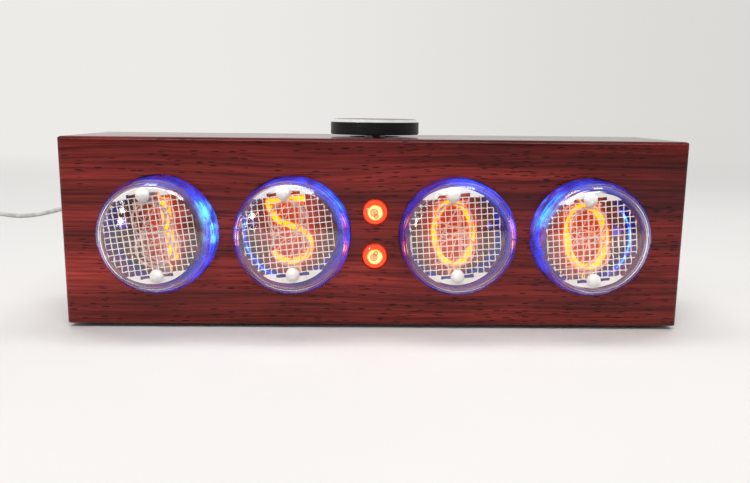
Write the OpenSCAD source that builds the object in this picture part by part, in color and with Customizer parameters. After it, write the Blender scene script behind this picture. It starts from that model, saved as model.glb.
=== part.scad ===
// Desk clock with four end-view glow tubes in a solid hardwood case.
// Millimetres. X runs along the case, Y from the dial side to the back, Z up from the table.

/* [Case] */
// Width of the wooden case
case_w = 168; // [165:1:190]
// Depth of the wooden case, front to back
case_d = 40; // [40:1:55]
// Height of the wooden case without its feet
case_h = 51; // [50:1:60]
// Thickness of the case walls
wall_t = 6; // [5.5:0.5:6.5]
// Thickness of the drilled front
front_t = 7; // [6.5:0.5:9]
// Rounding of the outer edges of the case
edge_r = 1.2; // [0.6:0.2:2]
// Side of the corner blocks that the rear panel screws to
block_w = 8; // [7:0.5:9]
// Thickness of the rear panel
panel_t = 3; // [2.5:0.5:4]
// Width of the ledge that the rear panel drops into
ledge_w = 3; // [2:0.5:4]
// Diameter of a foot
foot_d = 10; // [8:1:14]
// Thickness of a foot
foot_t = 1; // [0.8:0.2:3]
// Distance from the ends and faces of the case to the centre of a foot
foot_inset = 9; // [8:1:14]

/* [Tubes] */
// Outer diameter of the glass of a tube
glass_d = 30.8; // [30:0.2:31.4]
// Thickness of the glass
glass_t = 1.2; // [0.8:0.1:1.4]
// How far the dome of a tube stands out of the case
glass_reach = 12; // [10.5:0.5:14]
// Length of the straight glass wall in front of the case
glass_side = 5; // [4:0.5:5.5]
// Rounding of the glass shoulder
shoulder_r = 5; // [4:0.5:5.5]
// How far a tube reaches in behind the face of the case
glass_back = 18; // [17:0.5:22]
// Thickness of the pressed glass base
base_t = 2; // [1.5:0.5:3]
// Distance between the two tubes of a pair
pair_pitch = 35.6; // [35:0.2:37]
// Distance between the two middle tubes
middle_pitch = 44; // [43:0.5:48]
// Diameter of a lead pin
pin_d = 0.8; // [0.6:0.1:1]
// Radius of the circle that the lead pins stand on
pin_circle_r = 9; // [8.5:0.25:10]
// Number of lead pins of a tube
pin_count = 12; // [10:1:12]

/* [Electrodes] */
// Height of a numeral
numeral_h = 17; // [15:0.5:17.5]
// Width of a numeral
numeral_w = 10.5; // [8:0.5:11]
// Width of a numeral's stroke
stroke_w = 0.35; // [0.3:0.05:0.7]
// Thickness of the sheet metal inside a tube
sheet_t = 0.25; // [0.2:0.05:0.35]
// Distance from one numeral to the next behind it
numeral_pitch = 1; // [0.9:0.05:1.1]
// Gap between the anode and the glass round it
anode_gap = 1.4; // [0.9:0.1:1.5]
// How far the anode mesh lies in front of the case
anode_reach = 6; // [5.5:0.25:6.5]
// Pitch of the anode mesh
mesh_pitch = 1.55; // [1.4:0.05:2]
// Width of a bar of the anode mesh
mesh_bar = 0.2; // [0.2:0.05:0.5]
// Height of the meshed band, between the two plain edges
mesh_band = 20; // [17:0.5:20]
// Distance from the edge of the anode to the centre of a ceramic post
post_inset = 2.2; // [2:0.1:2.6]
// Diameter of a ceramic post at its spacers
spacer_d = 2.6; // [2.2:0.1:3]
// Diameter of the cap on a ceramic post
cap_d = 3.6; // [3:0.2:3.8]
// Height of the cap on a ceramic post
cap_h = 1.6; // [1.2:0.1:1.8]

/* [Colon lamps] */
// Diameter of a colon lamp
lamp_d = 6.6; // [6:0.2:7]
// Distance between the two colon lamps
lamp_pitch = 12; // [10:0.5:13]
// How far a colon lamp stands out of the case
lamp_reach = 1.5; // [0.8:0.1:3]
// Length of a colon lamp
lamp_len = 15; // [13:0.5:17]

/* [Knob] */
// Diameter of the knob
knob_d = 25.4; // [22:0.2:30]
// Height of the knob
knob_h = 4.3; // [4.2:0.1:6]
// Width of the bright chamfer round the top of the knob
knob_chamfer = 0.8; // [0.4:0.1:1]
// Gap between the knob and the top of the case
knob_gap = 0.7; // [0.7:0.1:1.5]
// How far the knob is pressed in
press_travel = 0.4; // [0.2:0.05:0.4]
// Diameter of the encoder shaft
shaft_d = 6; // [5:0.5:6]
// Diameter of the threaded bushing of the encoder
bushing_d = 7; // [7:0.1:8]

/* [Electronics] */
// Thickness of the circuit boards
board_t = 1.6; // [1.2:0.2:2]
// Gap between the glass base of a tube and the board behind it
base_gap = 2; // [2:0.5:3]
// Height of the encoder housing
encoder_h = 6.5; // [6.5:0.5:8]
// Diameter of the backup cell
cell_d = 12.5; // [10:0.5:12.5]
// Thickness of the backup cell
cell_t = 2; // [1.6:0.2:2.5]

/* [Power lead] */
// Distance from the end of the case to the power jack
jack_inset = 24; // [22:1:26]
// Height of the power jack above the table
jack_z = 16; // [15:0.5:20]
// Diameter of the contact hole of the power jack
jack_bore_d = 5.7; // [5.5:0.1:5.9]
// Diameter of the lead
cord_d = 2.2; // [1.8:0.1:2.4]

/* [Hidden] */

// How far a cut runs past the face that it goes through
over = 1;

// Clearances
bore_gap = 0.25;       // round a glass tube or lamp in the wood
seat_gap = 0.05;       // round a pin, post or stud in its hole
hole_gap = 0.2;        // round a lead or screw in a board
run_gap = 0.05;        // round a turning or sliding shaft
air_gap = 0.3;         // between pieces that pass each other
panel_gap = 0.15;      // round the rear panel in its ledge
board_gap = 1;         // round the display board in the case
block_gap = 0.5;       // between the display board and a corner block
capacitor_gap = 3.4;   // between the capacitor and the rear panel
thread_gap = 0.05;     // round a screw in its thread

// Screws
screw_d = 2.9;
screw_head_d = 5.6;
screw_head_h = 1.6;
rear_screw_len = 9;
screw_head_sink = 0.1;
board_screw_len = 6;
board_screw_root = 0.5;
hex_key = 2;
grub_d = 2;
grub_len = 3.4;
insert_d = 4.2;
insert_len = 6;
insert_hole_len = 10;
standoff_af = 5;
stud_d = 3;
stud_len = 5;
stud_hole_spare = 0.4;
standoff_thread_len = 7;

// Power jack and its plug
jack_flange_t = 2;
jack_flange_d = 10;
jack_thread_d = 8;
jack_inside = 9;
jack_nut_t = 2;
jack_nut_af = 10;
jack_pin_d = 1.9;
jack_floor_t = 1.5;
jack_pin_sink = 1;
barrel_len = 7.5;
barrel_root = 4;
plug_gap = 0.5;
plug_len = 12;
plug_d = 8.4;
plug_edge = 0.5;
plug_taper_len = 2;
plug_taper = 1;
relief_len = 8.5;
relief_d = 5;
relief_wall = 0.4;
relief_ribs = 4;
relief_root = 0.5;

// Places that follow from the sizes above
front_y = -(case_d + jack_flange_t - glass_reach) / 2;
rear_y = front_y + case_d;
mid_y = front_y + case_d / 2;
top_z = foot_t + case_h;
mid_z = foot_t + case_h / 2;
cavity_w = case_w - 2 * wall_t;
cavity_h = case_h - 2 * wall_t;
roof_z = top_z - wall_t;
ledge_y = rear_y - panel_t;
block_x = cavity_w / 2 - block_w / 2;
block_z = cavity_h / 2 - block_w / 2;
tube_xs = [
    -middle_pitch / 2 - pair_pitch, -middle_pitch / 2,
    middle_pitch / 2, middle_pitch / 2 + pair_pitch
];
tube_rolls = [7.5, 6.1, 4.3, 5.5];
lit_numerals = [1, 5, 0, 0];
tube_depth = glass_back + base_t;
board_depth = tube_depth + base_gap;
board_y = front_y + board_depth;
board_margin = 2.4;
board_w = 2 * (tube_xs[3] + pin_circle_r + board_margin);
board_h = cavity_h - 2 * board_gap;
board_back = board_y + board_t;
board_corner_r = 1.5;
standoff_inset = 4;
jack_x = -case_w / 2 + jack_inset;

// Glass envelope: a straight wall, a rounded shoulder and a shallow dome, all tangent
glass_r = glass_d / 2;
shoulder_x = glass_r - shoulder_r;
dome_rise = glass_reach - glass_side - shoulder_r;
dome_drop = (shoulder_x * shoulder_x - dome_rise * dome_rise) / (2 * dome_rise);
dome_r = glass_reach - glass_side + dome_drop;
dome_angle = asin(shoulder_x / (dome_r - shoulder_r));

// Electrode stack, measured along the tube's axis from the face of the case
stack_order = [3, 8, 9, 4, 0, 5, 7, 2, 6, 1];
anode_to_stack = 1.2;
stack_to_shield = 1.4;
stack_first = anode_reach - anode_to_stack;
stack_last = stack_first - numeral_pitch * (len(stack_order) - 1);
shield_z = stack_last - stack_to_shield;
anode_d = glass_d - 2 * glass_t - 2 * anode_gap;
post_offset = anode_d / 2 - post_inset;
// Where each stack stands off the middle of its glass, as shares of the anode gap
stack_leans = [[-0.76, 0.2], [-0.52, 0.6], [-0.66, 0.45], [-0.4, -0.1]];
groove_depth = 0.45;
groove_d = spacer_d - 2 * groove_depth;
lug_rim = 0.15;
lug_d = spacer_d + 2 * lug_rim;
lug_root = 0.2;
groove_play = 0.04;
leg_inset = 0.7;
leg_offset = anode_d / 2 - leg_inset;
leg_d = 0.8;
rim_w = 0.4;
skirt_h = 1.2;
notch_x = 3;
notch_w = 2.6;
notch_h = 0.9;

// Knob and encoder
knob_z = top_z + knob_gap;
knob_top_z = knob_z + knob_h;
knob_roof = 1.4;
knob_wall = 1.6;
knob_base_edge = 0.2;
hub_d = 14;
hub_roof_z = knob_top_z - knob_roof;
grub_z = (knob_z + hub_roof_z) / 2;
grub_hole_d = grub_d + 2 * thread_gap;
grub_access_d = grub_d + 2 * hole_gap;
grub_socket = 0.8;
encoder_w = 12;
encoder_l = 12.5;
encoder_z = roof_z - encoder_h;
bushing_len = wall_t - 1;
nut_af = 10;
nut_t = 2;
nut_pocket_d = 15;
nut_pocket_depth = wall_t - bushing_len + nut_t;
rotor_room_d = 10.4;
rotor_room_h = 4;
rotor_t = 2.8;
rotor_z = encoder_z + air_gap;
shaft_foot_d = 4;
shaft_flat = 1.5;
shaft_foot_z = rotor_z + press_travel;
shoulder_z = encoder_z + rotor_room_h + 2 * run_gap;
shaft_top_z = hub_roof_z - hole_gap;
shaft_root = 0.5;
encoder_board_w = 16;
notch_gap = 1.5;
board_notch_w = encoder_board_w + 2 * notch_gap;
board_notch_z = encoder_z - board_t - notch_gap;

// Colon lamps
lamp_zs = [mid_z + lamp_pitch / 2, mid_z - lamp_pitch / 2];
lamp_wall = 0.6;
lamp_bead = 2;
lead_d = 0.5;
lead_offset = 1;
lead_stub = 1;
electrode_d = 0.9;
electrode_len = 6;

// The free lead leaves its plug behind the case, drops to the table and wanders left to the
// coil. Its points count from the end of the plug, and their heights from the table.
plug_face_y = rear_y + jack_flange_t + plug_gap;
lead_start = [jack_x, plug_face_y + plug_len + relief_len, 0];
lie = cord_d / 2;
cord_points = [
    [0, 0, jack_z], [0, 6, jack_z], [0, 13, jack_z - 1], [-1, 21, 12], [-2, 29, 8],
    [-3, 37, 4.4], [-5, 46, 1.9], [-8, 56, lie], [-14, 71, lie], [-23, 88, lie],
    [-34, 105, lie], [-46, 122, lie], [-58, 139, lie], [-70, 156, lie], [-82, 171, lie],
    [-93, 181, lie], [-104, 185, lie], [-113, 181, lie], [-118, 171, lie], [-120, 159, lie],
    [-122.5, 148, lie], [-128, 142.5, lie], [-135, 145, lie], [-143, 150.5, lie],
    [-153, 155, lie], [-164, 157, lie], [-175, 157, lie]
];
cord_steps = 2;
cord_sides = 8;
coil_lead_in = 3;
coil_outer_r = 17.5;
coil_gap = 0.5;
coil_step = cord_d + coil_gap;
coil_layer_turns = 4;
coil_turn_rings = 24;
coil_sides = 6;
coil_run_out = 17;
coil_start = lead_start + cord_points[len(cord_points) - 1];
coil_centre = [coil_start[0] - coil_lead_in, coil_start[1] + coil_outer_r];
coil_top_z = lie + coil_step;
supply_relief_len = 8;
supply_body_len = 20;
supply_body_w = 15.5;
supply_body_t = 2 * coil_top_z;
supply_edge_r = 1.6;
supply_shell_len = 12;
supply_shell_w = 12;
supply_shell_t = 4.5;
supply_shell_wall = 0.4;

// ---------------------------------------------------------------- helpers

function arc(cx, cy, rx, ry, a0, a1, n) =
    [for (i = [0:n]) let (a = a0 + (a1 - a0) * i / n) [cx + rx * cos(a), cy + ry * sin(a)]];

function reversed(list) = [for (i = [len(list) - 1:-1:0]) list[i]];

function unit(v) = v / norm(v);

// Left-hand normal of an open path at point i, lengthened at the corners
function mitre(p, i) =
    let (
        a = unit(p[max(i, 1)] - p[max(i, 1) - 1]),
        b = unit(p[min(i, len(p) - 2) + 1] - p[min(i, len(p) - 2)]),
        n = unit([-a[1] - b[1], a[0] + b[0]])
    )
    n / max(0.5, n * [-a[1], a[0]]);

module band(path, w) {
    left = [for (i = [0:len(path) - 1]) path[i] + mitre(path, i) * w / 2];
    right = [for (i = [0:len(path) - 1]) path[i] - mitre(path, i) * w / 2];
    polygon(concat(right, reversed(left)));
}

module oval_ring(cx, cy, rx, ry, w) {
    n = 28;
    difference() {
        polygon(arc(cx, cy, rx + w / 2, ry + w / 2, 0, 360 - 360 / n, n - 1));
        polygon(arc(cx, cy, rx - w / 2, ry - w / 2, 0, 360 - 360 / n, n - 1));
    }
}

module rounded_square(w, h, r) {
    square([w - 2 * r, h], center = true);
    square([w, h - 2 * r], center = true);
    for (x = [-1, 1], y = [-1, 1])
        translate([x * (w / 2 - r), y * (h / 2 - r)])
            circle(r = r, $fn = 32);
}

// Cylinder that starts at y and runs towards +Y
module rod_y(x, y, z, d, len, fn = 48) {
    translate([x, y, z])
        rotate([-90, 0, 0])
            cylinder(d = d, h = len, $fn = fn);
}

// A tube's own frame: +Z out of the front along its axis, origin in the face of the case
module at_tube(i) {
    translate([tube_xs[i], front_y, mid_z])
        rotate([90, 0, 0])
            rotate([0, 0, tube_rolls[i]])
                children();
}

// The electrodes of a tube stand a little off the middle of its glass, as they were sealed in
module at_stack(i) {
    at_tube(i)
        translate([stack_leans[i][0] * anode_gap, stack_leans[i][1] * anode_gap, 0])
            children();
}

module at_lamp(i) {
    translate([0, front_y, lamp_zs[i]])
        rotate([90, 0, 0])
            children();
}

module at_corners(dx, dz) {
    for (x = [-1, 1], z = [-1, 1])
        translate([x * dx, 0, mid_z + z * dz])
            children();
}

// ---------------------------------------------------------------- case

module case_block() {
    intersection() {
        translate([0, rear_y, mid_z])
            rotate([90, 0, 0])
                linear_extrude(case_d)
                    rounded_square(case_w, case_h, edge_r);
        translate([0, mid_y, foot_t])
            linear_extrude(case_h)
                rounded_square(case_w, case_d, edge_r);
        translate([-case_w / 2, mid_y, mid_z])
            rotate([90, 0, 90])
                linear_extrude(case_w)
                    rounded_square(case_d, case_h, edge_r);
    }
}

// The blocks that stand in the corners of the case, each grown by a gap
module corner_blocks(gap) {
    at_corners(block_x, block_z)
        translate([-block_w / 2 - gap, front_y, -block_w / 2 - gap])
            cube([block_w + 2 * gap, ledge_y - front_y, block_w + 2 * gap]);
}

module case_cavity() {
    difference() {
        translate([-cavity_w / 2, front_y + front_t, foot_t + wall_t])
            cube([cavity_w, case_d, cavity_h]);
        corner_blocks(0);
    }
}

module wood_case() {
    color("#7d241d")
    difference() {
        case_block();
        case_cavity();
        translate([-case_w / 2 + ledge_w, ledge_y, foot_t + ledge_w])
            cube([case_w - 2 * ledge_w, case_d, case_h - 2 * ledge_w]);
        for (i = [0:3])
            at_tube(i)
                translate([0, 0, -tube_depth])
                    cylinder(d = glass_d + 2 * bore_gap, h = tube_depth + over, $fn = 96);
        for (i = [0:1])
            at_lamp(i)
                translate([0, 0, lamp_reach - lamp_len])
                    cylinder(d = lamp_d + 2 * bore_gap, h = lamp_len + over, $fn = 48);
        at_corners(block_x, block_z)
            rod_y(0, ledge_y - insert_hole_len, 0, insert_d + 2 * seat_gap,
                  insert_hole_len + over);
        at_standoffs()
            rod_y(0, front_y + front_t - stud_len - stud_hole_spare, 0,
                  stud_d + 2 * seat_gap, stud_len + stud_hole_spare + over);
        at_knob(roof_z - over)
            cylinder(d = bushing_d + 2 * hole_gap, h = wall_t + 2 * over, $fn = 48);
        at_knob(top_z - nut_pocket_depth)
            cylinder(d = nut_pocket_d, h = nut_pocket_depth + over, $fn = 64);
    }
}

module rear_panel() {
    color("#1b1c1e")
    difference() {
        translate([0, rear_y, mid_z])
            rotate([90, 0, 0])
                linear_extrude(panel_t)
                    square([case_w - 2 * ledge_w - 2 * panel_gap,
                            case_h - 2 * ledge_w - 2 * panel_gap], center = true);
        at_corners(block_x, block_z)
            rod_y(0, ledge_y - over, 0, screw_d + 2 * hole_gap, panel_t + 2 * over);
        at_corners(block_x, block_z)
            translate([0, rear_y - screw_head_h - hole_gap, 0])
                rotate([-90, 0, 0])
                    cylinder(d1 = screw_d + 2 * hole_gap, d2 = screw_head_d + 2 * hole_gap,
                             h = screw_head_h + hole_gap, $fn = 48);
        rod_y(jack_x, ledge_y - over, jack_z, jack_thread_d + 2 * hole_gap,
              panel_t + 2 * over);
    }
}

module rear_screws() {
    color("#3a3b3e")
    at_corners(block_x, block_z)
        difference() {
            union() {
                rod_y(0, rear_y - rear_screw_len, 0, screw_d, rear_screw_len - screw_head_sink);
                translate([0, rear_y - screw_head_h, 0])
                    rotate([-90, 0, 0])
                        cylinder(d1 = screw_d, d2 = screw_head_d, h = screw_head_h, $fn = 48);
            }
            rod_y(0, rear_y - screw_head_h, 0, hex_key / cos(30), screw_head_h + over, 6);
        }
}

module threaded_inserts() {
    color("#b08d46")
    at_corners(block_x, block_z)
        difference() {
            rod_y(0, ledge_y - insert_len, 0, insert_d, insert_len);
            rod_y(0, ledge_y - insert_len - over, 0, screw_d + 2 * thread_gap,
                  insert_len + 2 * over);
        }
}

module rubber_feet() {
    color("#26262a")
    for (x = [-1, 1], y = [-1, 1])
        translate([x * (case_w / 2 - foot_inset), mid_y + y * (case_d / 2 - foot_inset), 0])
            cylinder(d = foot_d, h = foot_t, $fn = 64);
}

// ---------------------------------------------------------------- glow tubes

function glass_outline(inset) = concat(
    arc(shoulder_x, glass_side, shoulder_r - inset, shoulder_r - inset, 0, 90 - dome_angle, 8),
    [for (i = [1:8]) let (a = 90 - dome_angle + dome_angle * i / 8)
        [(dome_r - inset) * cos(a), glass_side - dome_drop + (dome_r - inset) * sin(a)]]
);

module tube_glass(i) {
    color("#9db4ff", 0.35)
    at_tube(i)
        rotate_extrude($fn = 96)
            polygon(concat(
                [[glass_r, -glass_back]],
                glass_outline(0),
                reversed(glass_outline(glass_t)),
                [[glass_r - glass_t, -glass_back]]
            ));
}

module at_pins() {
    for (k = [0:pin_count - 1])
        rotate([0, 0, (k + 0.5) * 360 / pin_count])
            translate([pin_circle_r, 0, 0])
                children();
}

tip_r = 2.4;
tip_len = 4.6;
tip_hole_d = 7;

module tube_base(i) {
    color("#b9c8ff", 0.5)
    at_tube(i)
        difference() {
            union() {
                translate([0, 0, -tube_depth])
                    cylinder(d = glass_d, h = base_t, $fn = 96);
                rotate_extrude($fn = 48)
                    polygon(concat(
                        [[0, -tube_depth - tip_len]],
                        arc(0, -tube_depth, tip_r, tip_len, -75, 0, 5),
                        [[0, -tube_depth]]
                    ));
            }
            at_pins()
                translate([0, 0, -tube_depth - over])
                    cylinder(d = pin_d + 2 * seat_gap, h = base_t + 2 * over, $fn = 24);
        }
}

pin_inside = 1.5;
pin_outside = 1;

module tube_pins(i) {
    color("#c9c6bd")
    at_tube(i)
        at_pins()
            translate([0, 0, -board_depth - board_t - pin_outside])
                cylinder(d = pin_d, $fn = 24,
                         h = board_depth + board_t + pin_outside - glass_back + pin_inside);
}

// An opening that the rim cuts is kept where at least this much of it is left
least_opening = 0.4;

module mesh_openings() {
    open = mesh_pitch - mesh_bar;
    rim_r = anode_d / 2 - rim_w;
    columns = ceil(rim_r / mesh_pitch);
    rows = floor((mesh_band - open) / 2 / mesh_pitch);
    intersection() {
        circle(r = rim_r, $fn = 96);
        union()
            for (x = [-columns:columns], y = [-rows:rows]) {
                inner_corner = [for (k = [x, y]) max(0, abs(k) * mesh_pitch - open / 2)];
                if (norm(inner_corner) < rim_r - least_opening)
                    translate([x * mesh_pitch, y * mesh_pitch])
                        square(open, center = true);
            }
    }
}

module post_holes(d) {
    for (y = [-1, 1])
        translate([0, y * post_offset])
            circle(d = d, $fn = 32);
}

module anode_face() {
    difference() {
        circle(d = anode_d, $fn = 96);
        mesh_openings();
        for (x = [-1, 1], y = [-1, 1])
            translate([x * notch_x, y * (mesh_band / 2 + notch_h / 2 + mesh_bar)])
                square([notch_w, notch_h], center = true);
        post_holes(groove_d + 2 * seat_gap);
    }
}

module tube_anode(i) {
    color("#d9d6cf")
    at_stack(i) {
        translate([0, 0, anode_reach - sheet_t / 2])
            linear_extrude(sheet_t)
                anode_face();
        difference() {
            translate([0, 0, anode_reach - skirt_h])
                cylinder(d = anode_d, h = skirt_h, $fn = 96);
            translate([0, 0, anode_reach - skirt_h - over])
                cylinder(d = anode_d - 2 * sheet_t, h = skirt_h + 2 * over, $fn = 96);
        }
        for (x = [-1, 1])
            translate([x * leg_offset, 0, -glass_back])
                cylinder(d = leg_d, h = glass_back + anode_reach, $fn = 24);
        translate([0, 0, shield_z - sheet_t / 2])
            linear_extrude(sheet_t)
                difference() {
                    circle(d = anode_d, $fn = 96);
                    post_holes(groove_d + 2 * seat_gap);
                }
    }
}

// Heights of the sheets that a post carries, from the back
sheet_zs = concat([shield_z], reversed([for (k = [0:9]) stack_first - k * numeral_pitch]),
                  [anode_reach]);

module post_profile() {
    slot = sheet_t / 2 + groove_play;
    polygon(concat(
        [[0, -glass_back], [spacer_d / 2, -glass_back]],
        [for (z = sheet_zs, p = [[spacer_d, z - slot], [groove_d, z - slot],
                                 [groove_d, z + slot], [z == anode_reach ? cap_d : spacer_d, z + slot]])
            [p[0] / 2, p[1]]],
        arc(0, anode_reach + slot, cap_d / 2, cap_h, 0, 90, 7)
    ));
}

module tube_posts(i) {
    color("#f2f0ea")
    at_stack(i)
        for (y = [-1, 1])
            translate([0, y * post_offset, 0])
                rotate_extrude($fn = 32)
                    post_profile();
}

// Middle lines of the strokes reach half a stroke short of the numeral's size
half_w = (numeral_w - stroke_w) / 2;
half_h = (numeral_h - stroke_w) / 2;

// A two: its head is an arc, its neck curves back and down, and its foot is a bar
two_path = concat(
    arc(0, 0.45 * half_h, half_w, 0.55 * half_h, 165, -60, 14),
    arc(0.04 * half_w, -half_h, half_w, 0.78 * half_h, 100, 180, 6),
    [[0.95 * half_w, -half_h]]
);
function flipped(path) = [for (p = path) [p[0], -p[1]]];
function turned(path) = [for (p = path) -p];
six_tail = arc(0.75 * half_w, -0.42 * half_h, 1.75 * half_w, 1.42 * half_h, 180, 98, 9);

module numeral_strokes(n) {
    if (n == 0)
        oval_ring(0, 0, half_w, half_h, stroke_w);
    if (n == 1)
        band([[0.48 * half_w, half_h], [0.48 * half_w, -half_h]], stroke_w);
    if (n == 2)
        band(two_path, stroke_w);
    if (n == 3) {
        band(arc(0, 0.53 * half_h, 0.86 * half_w, 0.47 * half_h, 160, -100, 13), stroke_w);
        band(arc(0, -0.47 * half_h, 0.98 * half_w, 0.53 * half_h, 100, -160, 14), stroke_w);
    }
    if (n == 4) {
        band([[0.4 * half_w, -half_h], [0.4 * half_w, half_h]], stroke_w);
        band([[0.4 * half_w, 0.97 * half_h], [-half_w, -0.38 * half_h],
              [half_w, -0.38 * half_h]], stroke_w);
    }
    if (n == 5)
        band(flipped(two_path), stroke_w);
    if (n == 6 || n == 9) {
        turn = n == 6 ? 1 : -1;
        oval_ring(0, -turn * 0.42 * half_h, half_w, 0.58 * half_h, stroke_w);
        band(n == 6 ? six_tail : turned(six_tail), stroke_w);
    }
    if (n == 7)
        band([[-0.9 * half_w, half_h], [0.9 * half_w, half_h], [-0.25 * half_w, -half_h]], stroke_w);
    if (n == 8) {
        oval_ring(0, 0.52 * half_h, 0.86 * half_w, 0.48 * half_h, stroke_w);
        oval_ring(0, -0.46 * half_h, half_w, 0.54 * half_h, stroke_w);
    }
}

// Where the upper and lower lug joins the strokes, as shares of half the width
lug_feet = [[0, 0], [0.48, 0.48], [0, 0], [0, 0], [0.4, 0.4],
            [0, 0], [0.5, 0], [0, -0.25], [0, 0], [0, -0.5]];

module numeral_lugs(n) {
    post_y = post_offset - lug_d / 2 + lug_root;
    for (k = [0, 1]) {
        side = 1 - 2 * k;
        translate([0, side * post_offset])
            circle(d = lug_d, $fn = 32);
        band([[0, side * post_y], [lug_feet[n][k] * half_w, side * (half_h - stroke_w / 4)]],
             stroke_w);
    }
}

module numeral(n) {
    linear_extrude(sheet_t)
        difference() {
            union() {
                numeral_strokes(n);
                numeral_lugs(n);
            }
            post_holes(groove_d + 2 * seat_gap);
        }
}

module numerals_of_tube(i, lit) {
    at_stack(i)
        for (k = [0:9])
            if ((stack_order[k] == lit_numerals[i]) == lit)
                translate([0, 0, stack_first - k * numeral_pitch - sheet_t / 2])
                    numeral(stack_order[k]);
}

module tube_cathodes(i) {
    color("#bcb6b0")
    numerals_of_tube(i, false);
}

module tube_lit_numeral(i) {
    color("#ffb020")
    numerals_of_tube(i, true);
}

// ---------------------------------------------------------------- colon lamps

module colon_lamp_glasses() {
    color("#ff5a2a", 0.5)
    for (i = [0:1])
        at_lamp(i)
            difference() {
                rotate_extrude($fn = 48)
                    polygon(concat([[0, lamp_reach - lamp_len], [lamp_d / 2, lamp_reach - lamp_len]],
                                   arc(0, 0, lamp_d / 2, lamp_reach, 0, 90, 7)));
                rotate_extrude($fn = 48)
                    polygon(concat([[0, lamp_reach - lamp_len + lamp_bead],
                                    [lamp_d / 2 - lamp_wall, lamp_reach - lamp_len + lamp_bead]],
                                   arc(0, -lamp_wall, lamp_d / 2 - lamp_wall, lamp_reach, 0, 90, 7)));
                for (x = [-1, 1])
                    translate([x * lead_offset, 0, lamp_reach - lamp_len - over])
                        cylinder(d = lead_d + 2 * seat_gap, h = lamp_bead + 2 * over, $fn = 24);
            }
}

module colon_lamp_electrodes() {
    color("#c9c6bd")
    for (i = [0:1], x = [-1, 1])
        at_lamp(i)
            translate([x * lead_offset, 0, 0]) {
                lead_end = -board_depth - board_t - pin_outside;
                neck = lamp_reach - lamp_len + lamp_bead + lead_stub;
                translate([0, 0, lead_end])
                    cylinder(d = lead_d, h = neck - lead_end, $fn = 24);
                translate([0, 0, neck])
                    cylinder(d = electrode_d, h = electrode_len, $fn = 24);
            }
}

// ---------------------------------------------------------------- electronics

module at_standoffs() {
    for (x = [-1, 1])
        translate([x * (middle_pitch + pair_pitch) / 2, 0, mid_z])
            for (z = [-1, 1])
                translate([0, 0, z * (board_h / 2 - standoff_inset)])
                    children();
}

module display_board() {
    color("#143d2a")
    difference() {
        translate([0, board_back, mid_z])
            rotate([90, 0, 0])
                linear_extrude(board_t)
                    rounded_square(board_w, board_h, board_corner_r);
        for (i = [0:3])
            at_tube(i)
                translate([0, 0, -board_depth - board_t - over]) {
                    cylinder(d = tip_hole_d, h = board_t + 2 * over, $fn = 48);
                    at_pins()
                        cylinder(d = pin_d + 2 * hole_gap, h = board_t + 2 * over, $fn = 24);
                }
        for (i = [0:1], x = [-1, 1])
            at_lamp(i)
                translate([x * lead_offset, 0, -board_depth - board_t - over])
                    cylinder(d = lead_d + 2 * hole_gap, h = board_t + 2 * over, $fn = 24);
        at_standoffs()
            rod_y(0, board_y - over, 0, screw_d + 2 * hole_gap, board_t + 2 * over);
        translate([-board_notch_w / 2, board_y - over, board_notch_z])
            cube([board_notch_w, board_t + 2 * over, board_h]);
        corner_blocks(block_gap);
    }
}

module board_standoffs() {
    color("#b08d46")
    at_standoffs()
        difference() {
            union() {
                rod_y(0, front_y + front_t, 0, standoff_af / cos(30), board_depth - front_t, 6);
                rod_y(0, front_y + front_t - stud_len, 0, stud_d, stud_len + over);
            }
            rod_y(0, board_y - standoff_thread_len, 0, screw_d + 2 * thread_gap,
                  standoff_thread_len + over);
        }
}

module board_screws() {
    color("#b9bcc2")
    at_standoffs() {
        rod_y(0, board_back - board_screw_len, 0, screw_d, board_screw_len + board_screw_root);
        difference() {
            rod_y(0, board_back, 0, screw_head_d, screw_head_h);
            rod_y(0, board_back + screw_head_h / 2, 0, hex_key / cos(30), screw_head_h, 6);
        }
    }
}

led_size = [2.6, 3.2, 1.6];
led_offset = 6.1;

module backlight_leds() {
    color("#d8e2ff")
    for (i = [0:3], x = [-1, 1])
        at_tube(i)
            translate([x * led_offset, 0, -board_depth + led_size[2] / 2])
                cube(led_size, center = true);
}

driver_size = [10, 1.8, 4.4];
controller_size = [11, 2, 7];
chip_edge = 3.9;
chip_rise = board_h / 2 - chip_edge;
controller_rise = -12.6;

// A chip of the given size, soldered flat to the back of the board
module chip(x, z, size) {
    translate([x, board_back + size[1] / 2, z])
        cube(size, center = true);
}

// A driver sits above its tube, or beside the corner block where that is nearer
driver_reach = cavity_w / 2 - block_w - block_gap - driver_size[0] / 2;

module circuit_chips() {
    color("#222326")
    union() {
        for (x = tube_xs)
            chip(max(-driver_reach, min(driver_reach, x)), mid_z + chip_rise, driver_size);
        chip(0, mid_z, controller_size);
        chip(0, mid_z + controller_rise, controller_size);
    }
}

inductor_d = 9;
inductor_h = 6;
inductor_rim = 1;
inductor_waist = 1;
inductor_slope = 0.5;
inductor_rise = 4.6;
capacitor_d = 8;
capacitor_h = ledge_y - board_back - capacitor_gap;
capacitor_drop = 6;
bead_z = 1.2;
bead_depth = 0.4;
bead_h = 0.5;
column_x = (middle_pitch + pair_pitch) / 2;

module boost_inductor() {
    waist_r = inductor_d / 2 - inductor_waist;
    color("#4a4b50")
    translate([-column_x, board_back, mid_z + inductor_rise])
        rotate([-90, 0, 0])
            rotate_extrude($fn = 48)
                polygon([
                    [0, 0], [inductor_d / 2, 0], [inductor_d / 2, inductor_rim],
                    [waist_r, inductor_rim + inductor_slope],
                    [waist_r, inductor_h - inductor_rim - inductor_slope],
                    [inductor_d / 2, inductor_h - inductor_rim],
                    [inductor_d / 2, inductor_h], [0, inductor_h]
                ]);
}

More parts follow.
